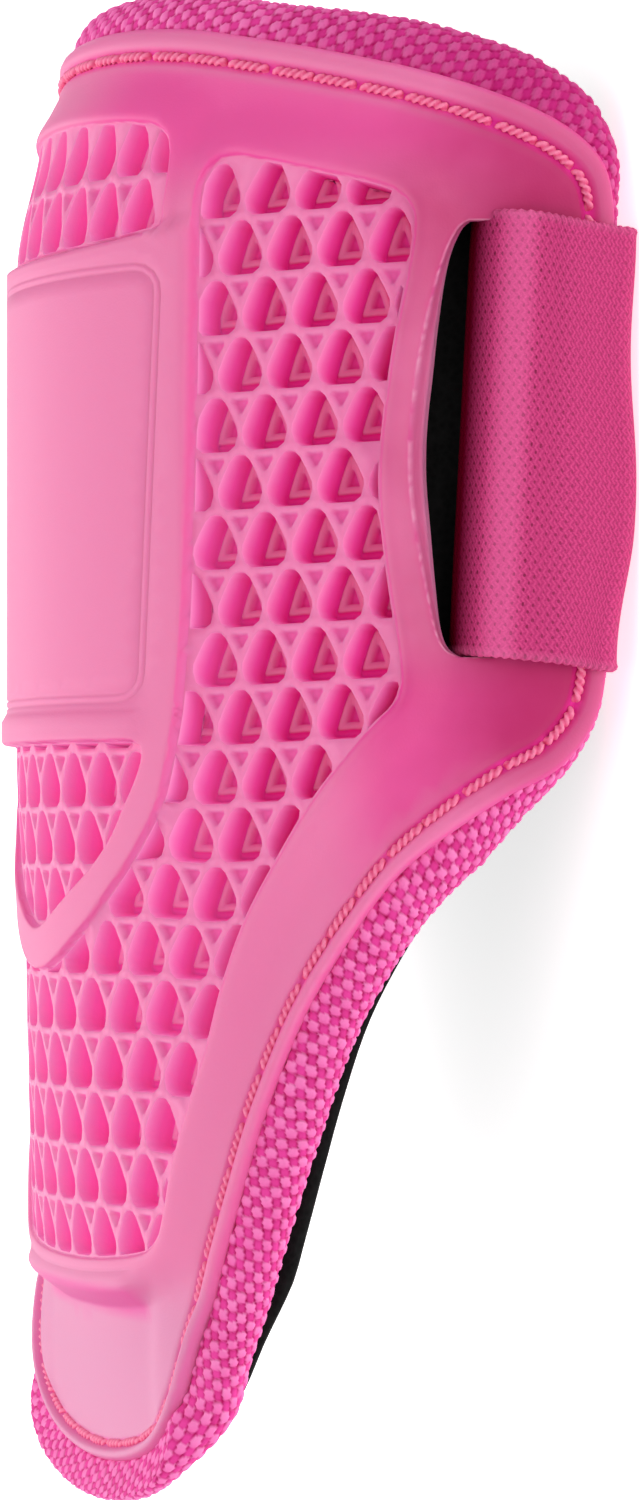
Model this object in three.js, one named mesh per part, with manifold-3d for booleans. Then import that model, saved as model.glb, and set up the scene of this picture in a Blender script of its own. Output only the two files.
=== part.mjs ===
// An elbow guard for batting: a moulded shell over a foam pad, a woven roll round the edge
// and one elastic strap across the back. It lies on its strap with the front of the shell up.
// Millimetres. +Z is the way the shell's front faces, +Y is the wide upper end, +X one wing.
//
// Places on the guard are given as s, t and h. s runs round the section from the middle of the
// front, t runs down the length from the upper end, and h is the height above the shell's face.

import * as THREE from "three";
import { mergeVertices } from "three/addons/utils/BufferGeometryUtils.js";
import Module from "manifold-3d";

// The section: three arcs on each side of the middle, each with its radius and its turn
const FRONT_RADIUS = 50;
const FRONT_TURN = THREE.MathUtils.degToRad(42);
const SIDE_RADIUS = 115;
const SIDE_TURN = THREE.MathUtils.degToRad(24);
const WING_RADIUS = 50;

// The tongue flattens and bends back, and so does the upper end
const TONGUE_START = 140;
const TONGUE_LENGTH = 95;
const TONGUE_FLATTENING = 100;
const TONGUE_BEND_RADIUS = 560;
const TIP_START = 212;
const TIP_LENGTH = 28;
const TIP_FLATTENING = 60;
const TIP_FLARE = 2.2;
const TOP_BEND_START = 46;
const TOP_BEND_LENGTH = 12;
const TOP_BEND_SLOPE = 0.15;

// Layers, as heights above the shell's face
const CLEARANCE = 0.35;
const LAYER_GAP = 1;
const SHELL_THICKNESS = 3;
const ROLL_THICKNESS = 5;
const PAD_BACK = -14;
const FIELD_HEIGHT = 2.6;
const PANEL_HEIGHT = 4.8;
const RIB_HEIGHT = 4.2;
const RAISED_ROOT = -1;

// The shell's edge: s and t of points on it, and how far the roll stands out past it there
const WING_EDGE = 106.5;
const UPPER_EDGE = [
  { s: 0, t: 6.4, roll: 6 },
  { s: 31, t: 7.7, roll: 6 },
  { s: 60, t: 12.9, roll: 6 },
  { s: 87, t: 20.2, roll: 6 },
  { s: 99, t: 25, roll: 4.5 },
  { s: 105, t: 32, roll: 2 },
  { s: WING_EDGE, t: 41, roll: 1.5 },
];
const LOWER_EDGE = [
  { s: WING_EDGE, t: 113, roll: 1.5 },
  { s: 104, t: 121, roll: 2 },
  { s: 97, t: 128.3, roll: 4 },
  { s: 84, t: 135.2, roll: 6 },
  { s: 72, t: 145.4, roll: 7 },
  { s: 60, t: 162.5, roll: 8 },
  { s: 51.5, t: 184, roll: 8.5 },
  { s: 44, t: 206, roll: 8.5 },
  { s: 38.4, t: 222.5, roll: 8 },
  { s: 34.2, t: 232.6, roll: 7 },
  { s: 25.5, t: 240.2, roll: 6.4 },
  { s: 13, t: 243.8, roll: 6 },
  { s: 0, t: 244.9, roll: 6 },
];
const ROLL_TUCK = 9;

// The raised part of the shell that carries the fields of wells
const FIELD_EDGE = 71;
const FIELD_UPPER = [
  { s: 0, t: 20.5 },
  { s: 28, t: 20.5 },
  { s: 42, t: 27.5 },
  { s: 64, t: 31 },
  { s: FIELD_EDGE, t: 36 },
];
const FIELD_LOWER = [
  { s: FIELD_EDGE, t: 117 },
  { s: 66, t: 125.5 },
  { s: 52, t: 147 },
  { s: 44.5, t: 170 },
  { s: 36, t: 200 },
  { s: 28, t: 210 },
  { s: 0, t: 212 },
];

// The front panel and the rib that hangs from it like a shield
const PANEL_HALF_WIDTH = 38;
const PANEL_TOP = 42;
const PANEL_BOTTOM = 123;
const RIB_WIDTH = 6;
const RIB_LINE = [
  { s: 34.5, t: 121 },
  { s: 32.5, t: 132 },
  { s: 27, t: 143 },
  { s: 14, t: 154 },
  { s: 0, t: 158 },
];

// The strap slot: its inner side bows towards the panel, its outer side is straight
const SLOT_TOP = 40.5;
const SLOT_BOTTOM = 111.5;
const SLOT_OUTER = 86;
const SLOT_INNER_END = 80;
const SLOT_INNER_BOW = 7;

// The strap: out of the slot round the bar, down the wing and flat across the back
const STRAP_WIDTH = 70;
const STRAP_THICKNESS = 2.2;
const STRAP_TOP = 41;
const STRAP_TAIL_END = 95;
const STRAP_TURN_RADIUS = 3;
const STRAP_POCKET_FLOOR = -6.9;
const STRAP_FOLD_FLATNESS = 0.75;
const STRAP_STEP = 3.5;
const STRAP_ARC_STEPS = 6;

// How finely each bent sheet is divided across and along
const SHELL_GRID = { columns: 36, rows: 22 };
const FIELD_GRID = { columns: 24, rows: 18 };
const PANEL_GRID = { columns: 14, rows: 8 };
const RIB_GRID = { columns: 2, rows: 24 };
const SLOT_GRID = { columns: 2, rows: 12 };
const PAD_GRID = { columns: 32, rows: 18 };
const FILL_GRID = { columns: 28, rows: 14 };
const POCKET_GRID = { columns: 3, rows: 2 };
const ROLL_GRID = { around: 84, sides: 8 };
const ROLL_SQUARENESS = 0.6;
const WING_CROWDING = 1.25;
const EDGE_STEPS = 48;

const FRONT_ARC = FRONT_RADIUS * FRONT_TURN;
const SIDE_ARC = SIDE_RADIUS * SIDE_TURN;

const wasm = await Module();
wasm.setup();

// One step along an arc that starts at a normal angle: where it gets to and the new angle
function alongArc(from, radius, distance) {
  const angle = from.angle + distance / radius;
  return {
    x: from.x + radius * (Math.sin(angle) - Math.sin(from.angle)),
    z: from.z - radius * (Math.cos(from.angle) - Math.cos(angle)),
    angle,
  };
}

function frontRadius(t) {
  const part = Math.max(0, (t - TONGUE_START) / TONGUE_LENGTH);
  const tip = TIP_FLATTENING * THREE.MathUtils.smoothstep(t, TIP_START, TIP_START + TIP_LENGTH);
  return FRONT_RADIUS + TONGUE_FLATTENING * part * part + tip;
}

function section(s, t) {
  const reach = Math.abs(s);
  let place = { x: 0, z: 0, angle: 0 };
  place = alongArc(place, frontRadius(t), Math.min(reach, FRONT_ARC));
  if (reach > FRONT_ARC) {
    place = alongArc(place, SIDE_RADIUS, Math.min(reach - FRONT_ARC, SIDE_ARC));
  }
  if (reach > FRONT_ARC + SIDE_ARC) {
    place = alongArc(place, WING_RADIUS, reach - FRONT_ARC - SIDE_ARC);
  }
  return place;
}

// How far the front line lies behind the straight middle of the guard
function setBack(t) {
  let depth = 0;
  const pastTop = TOP_BEND_START - t;
  if (pastTop > TOP_BEND_LENGTH) {
    depth = TOP_BEND_SLOPE * (pastTop - TOP_BEND_LENGTH / 2);
  } else if (pastTop > 0) {
    depth = (TOP_BEND_SLOPE * pastTop * pastTop) / (2 * TOP_BEND_LENGTH);
  }
  const pastStart = Math.max(0, t - TONGUE_START);
  const flare = TIP_FLARE * THREE.MathUtils.smoothstep(t, TIP_START, TIP_START + TIP_LENGTH);
  return depth + (pastStart * pastStart) / (2 * TONGUE_BEND_RADIUS) - flare;
}

// The guard's length with its roll, and the height that puts the strap's back on the floor
const FIRST_T = UPPER_EDGE[0].t - UPPER_EDGE[0].roll;
const LAST_T = LOWER_EDGE.at(-1).t + LOWER_EDGE.at(-1).roll;
const MIDDLE_T = (FIRST_T + LAST_T) / 2;
const PAD_END = section(WING_EDGE + LOWER_EDGE[0].roll, TOP_BEND_START);
const STRAP_BACK = -PAD_END.z + CLEARANCE + STRAP_THICKNESS;

function wrap(s, t, h) {
  const place = section(s, t);
  const side = Math.sign(s);
  return new THREE.Vector3(
    side * (place.x + h * Math.sin(place.angle)),
    MIDDLE_T - t,
    STRAP_BACK + place.z - setBack(t) + h * Math.cos(place.angle),
  );
}

// A smooth line through table rows, as points with s, t and roll
function smoothLine(rows, steps) {
  const stops = rows.map((row) => new THREE.Vector3(row.s, row.t, row.roll ?? 0));
  const curve = new THREE.CatmullRomCurve3(stops, false, "centripetal");
  return curve.getPoints(steps).map((p) => ({ s: p.x, t: p.y, roll: p.z }));
}

// Moves a line outwards by a distance that each point gives. The line runs from the middle of the
// upper end towards a wing, or from the wing to the tip, and outwards is square to the way it runs
function moveOut(line, distance) {
  return line.map((point, i) => {
    const before = line[Math.max(i - 1, 0)];
    const after = line[Math.min(i + 1, line.length - 1)];
    const run = new THREE.Vector2(after.s - before.s, after.t - before.t).normalize();
    const out = i === 0 || i === line.length - 1 ? new THREE.Vector2(0, run.x > 0 ? -1 : 1)
      : new THREE.Vector2(run.y, -run.x);
    const far = distance(point);
    return { s: Math.max(0, point.s + out.x * far), t: point.t + out.y * far, roll: point.roll };
  });
}

// t on a line at a given s
function lineAt(line, s) {
  for (let i = 1; i < line.length; i += 1) {
    const a = line[i - 1];
    const b = line[i];
    const low = Math.min(a.s, b.s);
    const high = Math.max(a.s, b.s);
    if (s >= low && s <= high && high > low) {
      return THREE.MathUtils.lerp(a.t, b.t, (s - a.s) / (b.s - a.s));
    }
  }
  const ends = [line[0], line.at(-1)];
  return Math.abs(ends[0].s - s) < Math.abs(ends[1].s - s) ? ends[0].t : ends[1].t;
}

// Turns a geometry into a solid with its faces pointing out
function solid(geometry) {
  geometry.deleteAttribute("normal");
  geometry.deleteAttribute("uv");
  const merged = mergeVertices(geometry, 1e-4);
  const vertProperties = new Float32Array(merged.attributes.position.array);
  const triVerts = new Uint32Array(merged.index.array);
  let volume = 0;
  const corner = [new THREE.Vector3(), new THREE.Vector3(), new THREE.Vector3()];
  for (let i = 0; i < triVerts.length; i += 3) {
    corner.forEach((c, k) => c.fromArray(vertProperties, triVerts[i + k] * 3));
    volume += corner[0].dot(corner[1].clone().cross(corner[2]));
  }
  if (volume < 0) {
    for (let i = 0; i < triVerts.length; i += 3) {
      [triVerts[i + 1], triVerts[i + 2]] = [triVerts[i + 2], triVerts[i + 1]];
    }
  }
  return new wasm.Manifold(new wasm.Mesh({ numProp: 3, vertProperties, triVerts }));
}

// A box of columns and rows bent onto the form; place gives s, t and h for each corner,
// from u and v between -1 and 1 across and along, and top true on the outer face
function bentBox(grid, place) {
  const box = new THREE.BoxGeometry(2, 2, 1, grid.columns, grid.rows, 1);
  const spots = box.attributes.position;
  for (let i = 0; i < spots.count; i += 1) {
    const { s, t, h } = place(spots.getX(i), spots.getY(i), spots.getZ(i) > 0);
    const point = wrap(s, t, h);
    spots.setXYZ(i, point.x, point.y, point.z);
  }
  return solid(box);
}

// A sheet over the whole area between an upper and a lower line, its columns closer at the wings
function sheet(upper, lower, halfWidth, grid, bottom, top) {
  return bentBox(grid, (u, v, outer) => {
    const s = (halfWidth * Math.sin(u * WING_CROWDING)) / Math.sin(WING_CROWDING);
    const first = lineAt(upper, Math.abs(s));
    const last = lineAt(lower, Math.abs(s));
    return { s, t: THREE.MathUtils.lerp(last, first, (v + 1) / 2), h: outer ? top : bottom };
  });
}

// A band of even width along a line
function band(line, width, columns, bottom, top) {
  return bentBox({ columns, rows: line.length - 1 }, (u, v, outer) => {
    const i = Math.round(((1 - v) / 2) * (line.length - 1));
    const before = line[Math.max(i - 1, 0)];
    const after = line[Math.min(i + 1, line.length - 1)];
    const run = new THREE.Vector2(after.s - before.s, after.t - before.t).normalize();
    const far = (u * width) / 2;
    return { s: line[i].s + run.y * far, t: line[i].t - run.x * far, h: outer ? top : bottom };
  });
}

const upperEdge = smoothLine(UPPER_EDGE, EDGE_STEPS);
const lowerEdge = smoothLine(LOWER_EDGE, EDGE_STEPS);
const wingEdge = (line) => Math.max(...line.map((point) => point.s));

// The moulded shell
function shellSolid() {
  let shell = sheet(upperEdge, lowerEdge, WING_EDGE, SHELL_GRID, -SHELL_THICKNESS, 0);
  const fieldUpper = smoothLine(FIELD_UPPER, EDGE_STEPS);
  const fieldLower = smoothLine(FIELD_LOWER, EDGE_STEPS);
  shell = shell.add(sheet(fieldUpper, fieldLower, FIELD_EDGE, FIELD_GRID, RAISED_ROOT, FIELD_HEIGHT));
  shell = shell.add(bentBox(PANEL_GRID, (u, v, outer) => ({
    s: u * PANEL_HALF_WIDTH,
    t: THREE.MathUtils.lerp(PANEL_BOTTOM, PANEL_TOP, (v + 1) / 2),
    h: outer ? PANEL_HEIGHT : RAISED_ROOT,
  })));
  const ribHalf = smoothLine(RIB_LINE, RIB_GRID.rows / 2);
  const ribLine = [...ribHalf, ...ribHalf.slice(0, -1).reverse().map((p) => ({ s: -p.s, t: p.t }))];
  shell = shell.add(band(ribLine, RIB_WIDTH, RIB_GRID.columns, RAISED_ROOT, RIB_HEIGHT));
  for (const side of [1, -1]) {
    shell = shell.subtract(slotCutter(side));
  }
  return shell;
}

function slotCutter(side) {
  const deep = SHELL_THICKNESS * 2;
  return bentBox(SLOT_GRID, (u, v, outer) => {
    const inner = SLOT_INNER_END - SLOT_INNER_BOW * Math.cos((v * Math.PI) / 2);
    return {
      s: side * THREE.MathUtils.lerp(inner, SLOT_OUTER, (u + 1) / 2),
      t: THREE.MathUtils.lerp(SLOT_BOTTOM, SLOT_TOP, (v + 1) / 2),
      h: outer ? deep : -deep,
    };
  });
}

// The woven roll: a closed ring of rounded section behind the shell's rim
const ROLL_TOP = -SHELL_THICKNESS - LAYER_GAP;
function rollSolid() {
  const { around, sides } = ROLL_GRID;
  const half = [...upperEdge, ...lowerEdge];
  const outerHalf = moveOut(half, (point) => point.roll);
  const innerHalf = moveOut(half, () => -ROLL_TUCK);
  const at = (line, part) => {
    const index = part * (line.length - 1);
    const a = line[Math.floor(index)];
    const b = line[Math.min(Math.floor(index) + 1, line.length - 1)];
    return [THREE.MathUtils.lerp(a.s, b.s, index % 1), THREE.MathUtils.lerp(a.t, b.t, index % 1)];
  };
  const ring = new THREE.TorusGeometry(2, 1, sides, around);
  const spots = ring.attributes.position;
  for (let j = 0; j <= sides; j += 1) {
    for (let i = 0; i <= around; i += 1) {
      const turn = (i % around) / around;
      const side = turn <= 0.5 ? 1 : -1;
      const part = side > 0 ? turn * 2 : (1 - turn) * 2;
      const [outS, outT] = at(outerHalf, part);
      const [inS, inT] = at(innerHalf, part);
      const angle = ((j % sides) / sides) * Math.PI * 2;
      const rounded = (value) => Math.sign(value) * Math.abs(value) ** ROLL_SQUARENESS;
      const across = (rounded(Math.cos(angle)) + 1) / 2;
      const up = (rounded(Math.sin(angle)) + 1) / 2;
      const point = wrap(
        side * THREE.MathUtils.lerp(inS, outS, across),
        THREE.MathUtils.lerp(inT, outT, across),
        ROLL_TOP - ROLL_THICKNESS * (1 - up),
      );
      spots.setXYZ(j * (around + 1) + i, point.x, point.y, point.z);
    }
  }
  return solid(ring);
}

// The foam pad: a full layer behind the roll and a smaller one that fills up to the shell
function padSolid() {
  const under = ROLL_TOP - ROLL_THICKNESS - LAYER_GAP;
  const upperOut = moveOut(upperEdge, (point) => point.roll);
  const lowerOut = moveOut(lowerEdge, (point) => point.roll);
  const inset = ROLL_TUCK + LAYER_GAP;
  const upperIn = moveOut(upperEdge, () => -inset);
  const lowerIn = moveOut(lowerEdge, () => -inset);
  let pad = sheet(upperOut, lowerOut, wingEdge(lowerOut), PAD_GRID, PAD_BACK, under);
  pad = pad.add(sheet(upperIn, lowerIn, WING_EDGE - inset, FILL_GRID, under + RAISED_ROOT, ROLL_TOP));
  for (const side of [1, -1]) {
    pad = pad.subtract(bentBox(POCKET_GRID, (u, v, outer) => ({
      s: side * THREE.MathUtils.lerp(SLOT_INNER_END, STRAP_TAIL_END + LAYER_GAP, (u + 1) / 2),
      t: THREE.MathUtils.lerp(SLOT_BOTTOM, SLOT_TOP, (v + 1) / 2),
      h: outer ? 0 : STRAP_POCKET_FLOOR,
    })));
  }
  return pad;
}

// The elastic strap, as an outline in the section drawn round its middle line
function strapSolid() {
  const t = (SLOT_TOP + SLOT_BOTTOM) / 2;
  const flat = (s, h) => {
    const point = wrap(s, t, h);
    return new THREE.Vector2(point.x, point.z);
  };
  const over = CLEARANCE + STRAP_THICKNESS / 2;
  const below = -SHELL_THICKNESS - CLEARANCE - STRAP_THICKNESS / 2;
  const foldMiddle = (over + below) / 2;
  const foldRadius = (over - below) / 2;
  const middle = [];
  for (let s = STRAP_TAIL_END; s > SLOT_OUTER; s -= STRAP_STEP) {
    middle.push(flat(s, below));
  }
  for (let i = 0; i <= STRAP_ARC_STEPS; i += 1) {
    const a = (Math.PI * i) / STRAP_ARC_STEPS;
    const out = foldRadius * STRAP_FOLD_FLATNESS * Math.sin(a);
    middle.push(flat(SLOT_OUTER - out, foldMiddle - foldRadius * Math.cos(a)));
  }
  for (let s = SLOT_OUTER + STRAP_STEP; s < WING_EDGE; s += STRAP_STEP) {
    middle.push(flat(s, over));
  }
  const floor = STRAP_THICKNESS / 2;
  const wing = flat(WING_EDGE, over);
  const turn = new THREE.Vector2(wing.x - STRAP_TURN_RADIUS, floor + STRAP_TURN_RADIUS);
  for (let i = 0; i <= STRAP_ARC_STEPS; i += 1) {
    const a = (Math.PI / 2) * (i / STRAP_ARC_STEPS);
    middle.push(new THREE.Vector2(
      turn.x + STRAP_TURN_RADIUS * Math.cos(a),
      turn.y - STRAP_TURN_RADIUS * Math.sin(a),
    ));
  }
  const whole = [...middle, ...middle.slice().reverse().map((p) => new THREE.Vector2(-p.x, p.y))];
  const offset = (side) => whole.map((point, i) => {
    const before = whole[Math.max(i - 1, 0)];
    const after = whole[Math.min(i + 1, whole.length - 1)];
    const run = after.clone().sub(before).normalize();
    return new THREE.Vector2(point.x - run.y * side, point.y + run.x * side);
  });
  const outline = [...offset(STRAP_THICKNESS / 2), ...offset(-STRAP_THICKNESS / 2).reverse()];
  const strap = new THREE.ExtrudeGeometry(new THREE.Shape(outline), {
    depth: STRAP_WIDTH, bevelEnabled: false, curveSegments: 1,
  });
  strap.rotateX(Math.PI / 2);
  strap.translate(0, MIDDLE_T - STRAP_TOP, 0);
  return solid(strap);
}

// A named mesh of a solid, with its colour and finish
function piece(name, body, color, roughness) {
  const mesh = body.getMesh();
  const geometry = new THREE.BufferGeometry();
  geometry.setAttribute("position", new THREE.BufferAttribute(mesh.vertProperties, mesh.numProp));
  geometry.setIndex(new THREE.BufferAttribute(mesh.triVerts, 1));
  geometry.computeVertexNormals();
  const made = new THREE.Mesh(geometry, new THREE.MeshStandardMaterial({ color, roughness, metalness: 0 }));
  made.name = name;
  return made;
}

const guard = new THREE.Group();
guard.add(piece("shell", shellSolid(), "#e8649f", 0.5));
guard.add(piece("edge_binding", rollSolid(), "#d63c8c", 0.8));
guard.add(piece("pad", padSolid(), "#141013", 0.9));
guard.add(piece("strap", strapSolid(), "#d23e84", 0.85));

export default guard;
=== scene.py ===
import math

import bpy
import numpy as np
from mathutils import Matrix, Vector
from mathutils.geometry import delaunay_2d_cdt


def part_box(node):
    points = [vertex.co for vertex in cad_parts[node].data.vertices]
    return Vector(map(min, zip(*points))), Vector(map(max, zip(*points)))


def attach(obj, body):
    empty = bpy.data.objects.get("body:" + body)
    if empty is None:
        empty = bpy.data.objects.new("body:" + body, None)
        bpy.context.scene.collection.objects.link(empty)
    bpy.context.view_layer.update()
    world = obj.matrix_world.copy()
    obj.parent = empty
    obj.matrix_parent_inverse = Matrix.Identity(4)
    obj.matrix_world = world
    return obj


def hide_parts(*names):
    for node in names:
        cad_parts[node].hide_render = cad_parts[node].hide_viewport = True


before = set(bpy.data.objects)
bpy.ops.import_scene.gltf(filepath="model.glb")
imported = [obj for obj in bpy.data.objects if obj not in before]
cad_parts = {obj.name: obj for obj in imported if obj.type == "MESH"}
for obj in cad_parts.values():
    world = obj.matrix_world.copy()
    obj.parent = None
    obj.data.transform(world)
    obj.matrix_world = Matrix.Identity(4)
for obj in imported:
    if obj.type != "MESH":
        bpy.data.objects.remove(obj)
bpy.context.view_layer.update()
bpy.ops.object.select_all(action="DESELECT")

# Shell: one moulding of soft pink plastic, bent to a U round the arm, with a long tongue over the forearm.
# Its wells, front panel, rib, rim and strap slots all come out of one mould, so it is one closed mesh.
# Places on it are s, round the section from the middle, t, down from the upper end, and h, above its face.
MM = 0.001
FRONT_RADIUS = 50.0
FRONT_ARC = FRONT_RADIUS * math.radians(42)
SIDE_RADIUS = 115.0
SIDE_ARC = SIDE_RADIUS * math.radians(24)
WING_RADIUS = 50.0
TONGUE_START = 140.0
TONGUE_LENGTH = 95.0
TONGUE_FLATTENING = 100.0
TONGUE_BEND_RADIUS = 560.0
TIP_BEND = (212.0, 236.0)
TIP_FLATTENING = 60.0
TIP_FLARE = 1.4
TOP_BEND_START = 46.0
TOP_BEND_LENGTH = 12.0
TOP_BEND_SLOPE = 0.15
PANEL_RAISE = 4.8
ROLL_START = 0.4
FRONT_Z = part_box("shell")[1].z / MM - PANEL_RAISE
MIDDLE_T = ROLL_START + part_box("edge_binding")[1].y / MM


def fade(value, start, end):
    """A smooth step from 0 at start to 1 at end."""
    part = np.clip((value - start) / (end - start), 0, 1)
    return part * part * (3 - 2 * part)


def arc_end(x, z, angle, radius, distance):
    turned = angle + distance / radius
    across = x + radius * (np.sin(turned) - np.sin(angle))
    down = z - radius * (np.cos(angle) - np.cos(turned))
    return across, down, turned


def section(s, t):
    """How far across and down the shell's face lies at a place, and how far it has turned there."""
    reach = np.abs(s)
    flattened = np.maximum(0, (t - TONGUE_START) / TONGUE_LENGTH)
    front = FRONT_RADIUS + TONGUE_FLATTENING * flattened**2 + TIP_FLATTENING * fade(t, *TIP_BEND)
    place = arc_end(0.0, 0.0, 0.0, front, np.minimum(reach, FRONT_ARC))
    place = arc_end(*place, SIDE_RADIUS, np.clip(reach - FRONT_ARC, 0, SIDE_ARC))
    return arc_end(*place, WING_RADIUS, np.maximum(reach - FRONT_ARC - SIDE_ARC, 0))


def set_back(t):
    past_top = np.maximum(0, TOP_BEND_START - t)
    bend = TOP_BEND_SLOPE * past_top**2 / (2 * TOP_BEND_LENGTH)
    straight = TOP_BEND_SLOPE * (past_top - TOP_BEND_LENGTH / 2)
    past_start = np.maximum(0, t - TONGUE_START)
    tongue = past_start**2 / (2 * TONGUE_BEND_RADIUS) - TIP_FLARE * fade(t, *TIP_BEND)
    return np.where(past_top > TOP_BEND_LENGTH, straight, bend) + tongue


def wrap(s, t, h):
    """Points in metres for places on the shell."""
    across, down, angle = section(s, t)
    x = np.sign(s) * (across + h * np.sin(angle))
    z = FRONT_Z + down - set_back(t) + h * np.cos(angle)
    return np.column_stack([x, MIDDLE_T - t, z]) * MM


def lengths_along(line):
    return np.concatenate([[0], np.cumsum(np.linalg.norm(np.diff(line, axis=0), axis=1))])


def points_at(wanted, along, line):
    return np.column_stack([np.interp(wanted, along, line[:, k]) for k in range(line.shape[1])])


def evenly(line, spacing):
    along = lengths_along(line)
    count = max(2, round(along[-1] / spacing) + 1)
    return points_at(np.linspace(0, along[-1], count), along, line)


def mirrored(values):
    return values * np.array([-1] + [1] * (values.shape[-1] - 1))


def curve_through(stops):
    """Close points on a smooth curve from the second stop to the last but one."""
    part = np.linspace(0, 1, 20, endpoint=False)[:, None]
    bits = []
    for a, b, c, d in zip(stops, stops[1:], stops[2:], stops[3:]):
        curve = 2 * b + (c - a) * part + (2 * a - 5 * b + 4 * c - d) * part**2
        bits.append((curve + (3 * b - a - 3 * c + d) * part**3) / 2)
    return np.vstack(bits + [stops[-2:-1]])


def smooth_open(rows):
    points = np.array(rows, float)
    return curve_through(np.vstack([2 * points[0] - points[1], points, 2 * points[-1] - points[-2]]))


def smooth_half(rows, spacing):
    """A smooth line through rows of s and t, from the middle out to one side and back to the middle."""
    points = np.array(rows, float)
    return evenly(curve_through(np.vstack([mirrored(points[1]), points, mirrored(points[-2])])), spacing)


def whole_loop(half):
    return np.vstack([half, mirrored(half[-2:0:-1])])


def unit(vectors):
    return vectors / np.maximum(np.linalg.norm(vectors, axis=-1, keepdims=True), 1e-15)


def loop_normals(loop, reach=1):
    run = unit(np.roll(loop, -reach, axis=0) - np.roll(loop, reach, axis=0))
    return np.column_stack([run[:, 1], -run[:, 0]])


def nearest_on(points, loop):
    """The loop's nearest place to each point."""
    run = np.roll(loop, -1, axis=0) - loop
    part = ((points[:, None] - loop) * run).sum(2) / np.maximum((run**2).sum(1), 1e-12)
    spots = loop + np.clip(part, 0, 1)[..., None] * run
    nearest = np.linalg.norm(points[:, None] - spots, axis=2).argmin(1)
    return spots[np.arange(len(points)), nearest]


def distance_to(points, loop):
    batches = np.array_split(points, max(1, len(points) // 1500))
    return np.concatenate([np.linalg.norm(some - nearest_on(some, loop), axis=1) for some in batches])


def inside(points, loop):
    s, t = points[:, :1], points[:, 1:2]
    a = loop[None]
    b = np.roll(loop, -1, axis=0)[None]
    crosses = (a[..., 1] > t) != (b[..., 1] > t)
    rise = np.where(a[..., 1] == b[..., 1], 1e-9, b[..., 1] - a[..., 1])
    at = a[..., 0] + (t - a[..., 1]) * (b[..., 0] - a[..., 0]) / rise
    return (crosses & (s < at)).sum(1) % 2 == 1


def inside_any(points, loops):
    return np.any([inside(points, loop) for loop in loops], axis=0)


FOLD_TOLERANCE = 0.06


def moved(loop, out):
    """The loop moved outwards, without the points that its tight corners would fold over."""
    shifted = loop + loop_normals(loop) * np.reshape(out, (-1, 1))
    return shifted[distance_to(shifted, loop) > np.abs(out) - FOLD_TOLERANCE]


def signed_area(loop):
    return (loop[:, 0] * np.roll(loop[:, 1], -1) - np.roll(loop[:, 0], -1) * loop[:, 1]).sum() / 2


def turned_outwards(loop):
    return loop if signed_area(loop) > 0 else loop[::-1]


EDGE_ROWS = (
    (0, 6.2), (17, 6.7), (31, 8.2), (44, 10.7), (58, 13.7), (73, 17.3), (87, 21.8), (97, 26.3),
    (103.5, 31.5), (106.3, 38), (106.6, 46), (106.2, 76), (105.6, 106), (105.0, 116), (102.6, 122.6),
    (97, 128.8), (89, 133), (80, 138.7), (72, 144.9), (66, 152.4), (60, 162.3), (56, 171), (51.2, 185),
    (47.4, 198), (43, 210.7), (39.6, 220.2), (37.4, 227.0), (34.9, 231.6), (31.4, 235.6), (26.6, 238.9),
    (19.6, 241.5), (10, 243.2), (0, 243.8),
)
TOP_FIELD_ROWS = (
    (0, 21.6), (15, 22.2), (25, 23.2), (29.6, 24.6), (31.8, 27.4), (32.5, 33), (32.7, 38),
    (32.4, 40.6), (29.5, 41.5), (24, 42.2), (13, 43.0), (0, 43.2),
)
LOW_FIELD_ROWS = (
    (0, 123.9), (24, 123.9), (29.0, 124.2), (29.8, 126.6), (28.4, 130.6), (26, 134.8), (23.2, 139.6),
    (18, 144.8), (9.8, 150.2), (4, 153.4), (0, 154.4),
)
SIDE_FIELD_ROWS = (
    (0, 161.6), (7, 159.9), (16.2, 154.0), (20.3, 150.3), (24.8, 145.6), (28.6, 140.9), (32.7, 133.9),
    (34.8, 125.3), (36.2, 115.9), (37.2, 100), (37.9, 80), (38.3, 60), (38.5, 44), (38.4, 36),
    (39.2, 32), (42.4, 30), (47, 30.6), (56, 32.7), (68, 35.6), (72.3, 38), (74, 41.6), (73.4, 48.3),
    (70.8, 62), (68.9, 77), (68.7, 86), (69.8, 97), (71.4, 108), (72, 115), (70.6, 118.8), (66.8, 122.6),
    (58.2, 133.2), (51, 145), (46.6, 154), (43.6, 164), (41.7, 173), (38.7, 183), (35.6, 193),
    (33.6, 201), (31.6, 205), (27, 207.2), (14, 208.8), (0, 209.2),
)
SLOT_INNER_ROWS = (
    (82.4, 41.4), (80.6, 42.8), (78.4, 47.7), (76.2, 55.8), (74.7, 63), (73.5, 72), (73.1, 79.3),
    (73.4, 86), (74.5, 93.4), (75.9, 100.6), (77.2, 106.6), (78.6, 109.6), (80.8, 110.9),
)
SLOT_OUTER = 87.0
EDGE_SPACING = 1.7
FIELD_SPACING = 1.3
SLOT_SPACING = 0.9
edge_half = smooth_half(EDGE_ROWS, EDGE_SPACING)
edge = turned_outwards(whole_loop(edge_half))
fields = []
for rows in (TOP_FIELD_ROWS, LOW_FIELD_ROWS, SIDE_FIELD_ROWS):
    fields.append(turned_outwards(whole_loop(smooth_half(rows, FIELD_SPACING))))
inner_line = smooth_open(SLOT_INNER_ROWS)
slot_ends = np.array([(SLOT_OUTER, inner_line[-1, 1]), (SLOT_OUTER, inner_line[0, 1]), inner_line[0]])
slot = turned_outwards(evenly(np.vstack([inner_line, slot_ends]), SLOT_SPACING)[:-1])
slots = [slot, turned_outwards(mirrored(slot))]

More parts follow.
